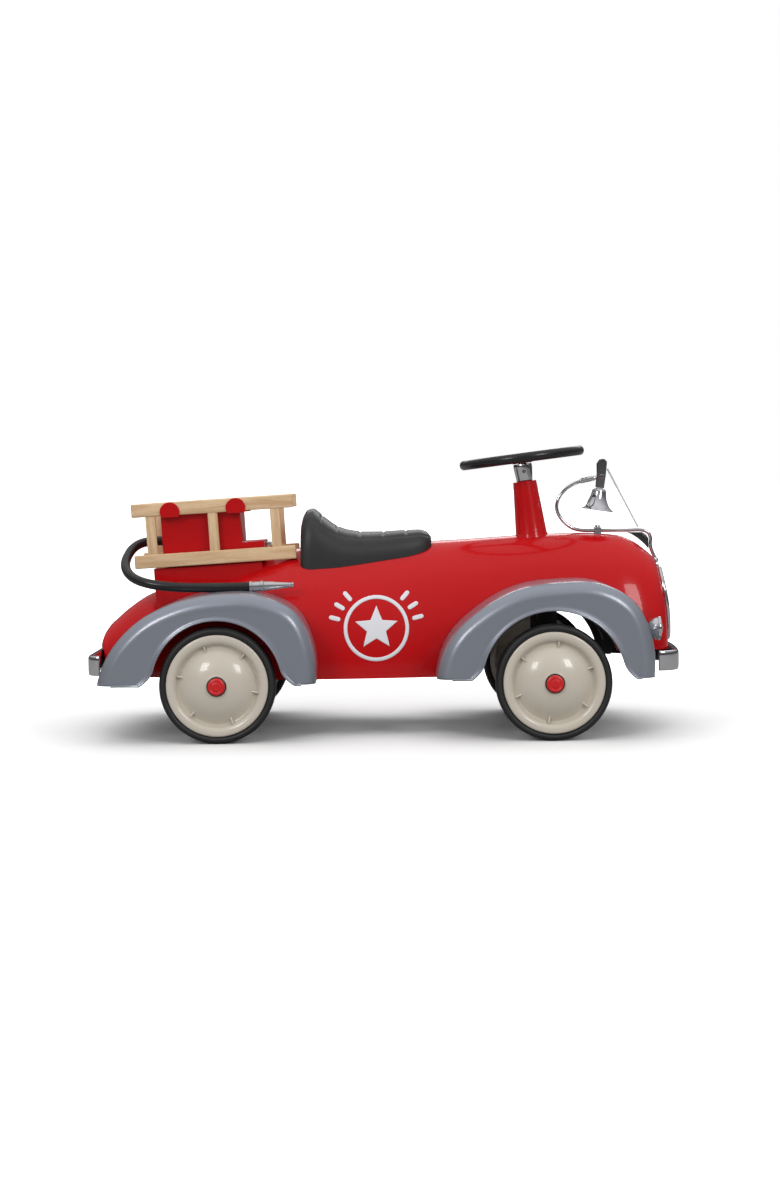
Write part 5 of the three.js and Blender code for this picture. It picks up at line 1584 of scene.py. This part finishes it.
def floor():
    """A matt floor that glows white for the camera, more and more, from half a metre out."""
    bm = bmesh.new()
    bmesh.ops.create_grid(bm, x_segments=1, y_segments=1, size=60)
    mesh = bpy.data.meshes.new("studio_floor")
    bm.to_mesh(mesh)
    bm.free()
    made = bpy.data.materials.new("studio_floor")
    made.use_nodes = True
    tree = made.node_tree
    bsdf = tree.nodes["Principled BSDF"]
    bsdf.inputs["Roughness"].default_value = 0.8
    bsdf.inputs["Specular IOR Level"].default_value = 0.0
    bsdf.inputs["Emission Color"].default_value = (1, 1, 1, 1)
    colour = by_ray(tree, "Is Camera Ray", FLOOR_SEEN_BY_PAINT, FLOOR_SEEN_BY_CAMERA)
    tree.links.new(colour, bsdf.inputs["Base Color"])
    flat = node(tree, "ShaderNodeVectorMath", {"operation": "MULTIPLY"})
    flat.inputs[1].default_value = (1, 1.3, 0)
    reach = node(tree, "ShaderNodeVectorMath", {"operation": "LENGTH"})
    gentle = {"interpolation_type": "SMOOTHSTEP"}
    fade = node(tree, "ShaderNodeMapRange", gentle, From_Min=0.5, From_Max=1.0)
    seen = node(tree, "ShaderNodeMath", {"operation": "MULTIPLY"})
    path = node(tree, "ShaderNodeLightPath")
    tree.links.new(node(tree, "ShaderNodeTexCoord").outputs["Object"], flat.inputs[0])
    tree.links.new(flat.outputs["Vector"], reach.inputs[0])
    tree.links.new(reach.outputs["Value"], fade.inputs["Value"])
    tree.links.new(fade.outputs["Result"], seen.inputs[0])
    tree.links.new(path.outputs["Is Camera Ray"], seen.inputs[1])
    tree.links.new(seen.outputs[0], bsdf.inputs["Emission Strength"])
    mesh.materials.append(made)
    obj = bpy.data.objects.new("studio_floor", mesh)
    SCENE.collection.objects.link(obj)


# %% Lights and world
def soft_light(name, place, target, size, power, mirrored=True):
    data = bpy.data.lights.new(name, "AREA")
    data.shape = "RECTANGLE"
    data.size, data.size_y = size
    data.energy = power
    obj = bpy.data.objects.new(name, data)
    obj.location = place
    obj.rotation_euler = (Vector(target) - Vector(place)).to_track_quat("-Z", "Y").to_euler()
    obj.visible_glossy = mirrored
    SCENE.collection.objects.link(obj)


def room():
    """A world that is white to the camera, grey to paint and graded to mirrored rays."""
    world = bpy.data.worlds.new("studio")
    world.use_nodes = True
    tree = world.node_tree
    background = tree.nodes["Background"]
    split = node(tree, "ShaderNodeSeparateXYZ")
    ramp = node(tree, "ShaderNodeMapRange", {"clamp": True}, From_Min=0.05, From_Max=0.9)
    tree.links.new(node(tree, "ShaderNodeTexCoord").outputs["Generated"], split.inputs["Vector"])
    tree.links.new(split.outputs["Z"], ramp.inputs["Value"])
    mirrored_room = mixed(tree, ramp.outputs["Result"], (0.05, 0.05, 0.052), (0.75, 0.75, 0.77))
    lit = by_ray(tree, "Is Glossy Ray", (0.62, 0.62, 0.62), mirrored_room)
    tree.links.new(by_ray(tree, "Is Camera Ray", lit, (1.0, 1.0, 1.0)), background.inputs["Color"])
    SCENE.world = world


floor()
soft_light("overhead", (0.0, 0.1, 2.3), (0, 0, 0), (4.2, 3.2), 36, mirrored=False)
soft_light("front_left", (-1.5, -2.5, 1.5), (0, 0, 0.15), (0.7, 0.9), 17)
soft_light("front_right", (1.6, -2.4, 1.5), (0, 0, 0.15), (0.7, 0.9), 17)
soft_light("back", (0.3, 2.6, 1.6), (0, 0, 0.2), (2.4, 0.8), 16)
room()
SCENE.view_settings.view_transform = "Standard"
print("studio")
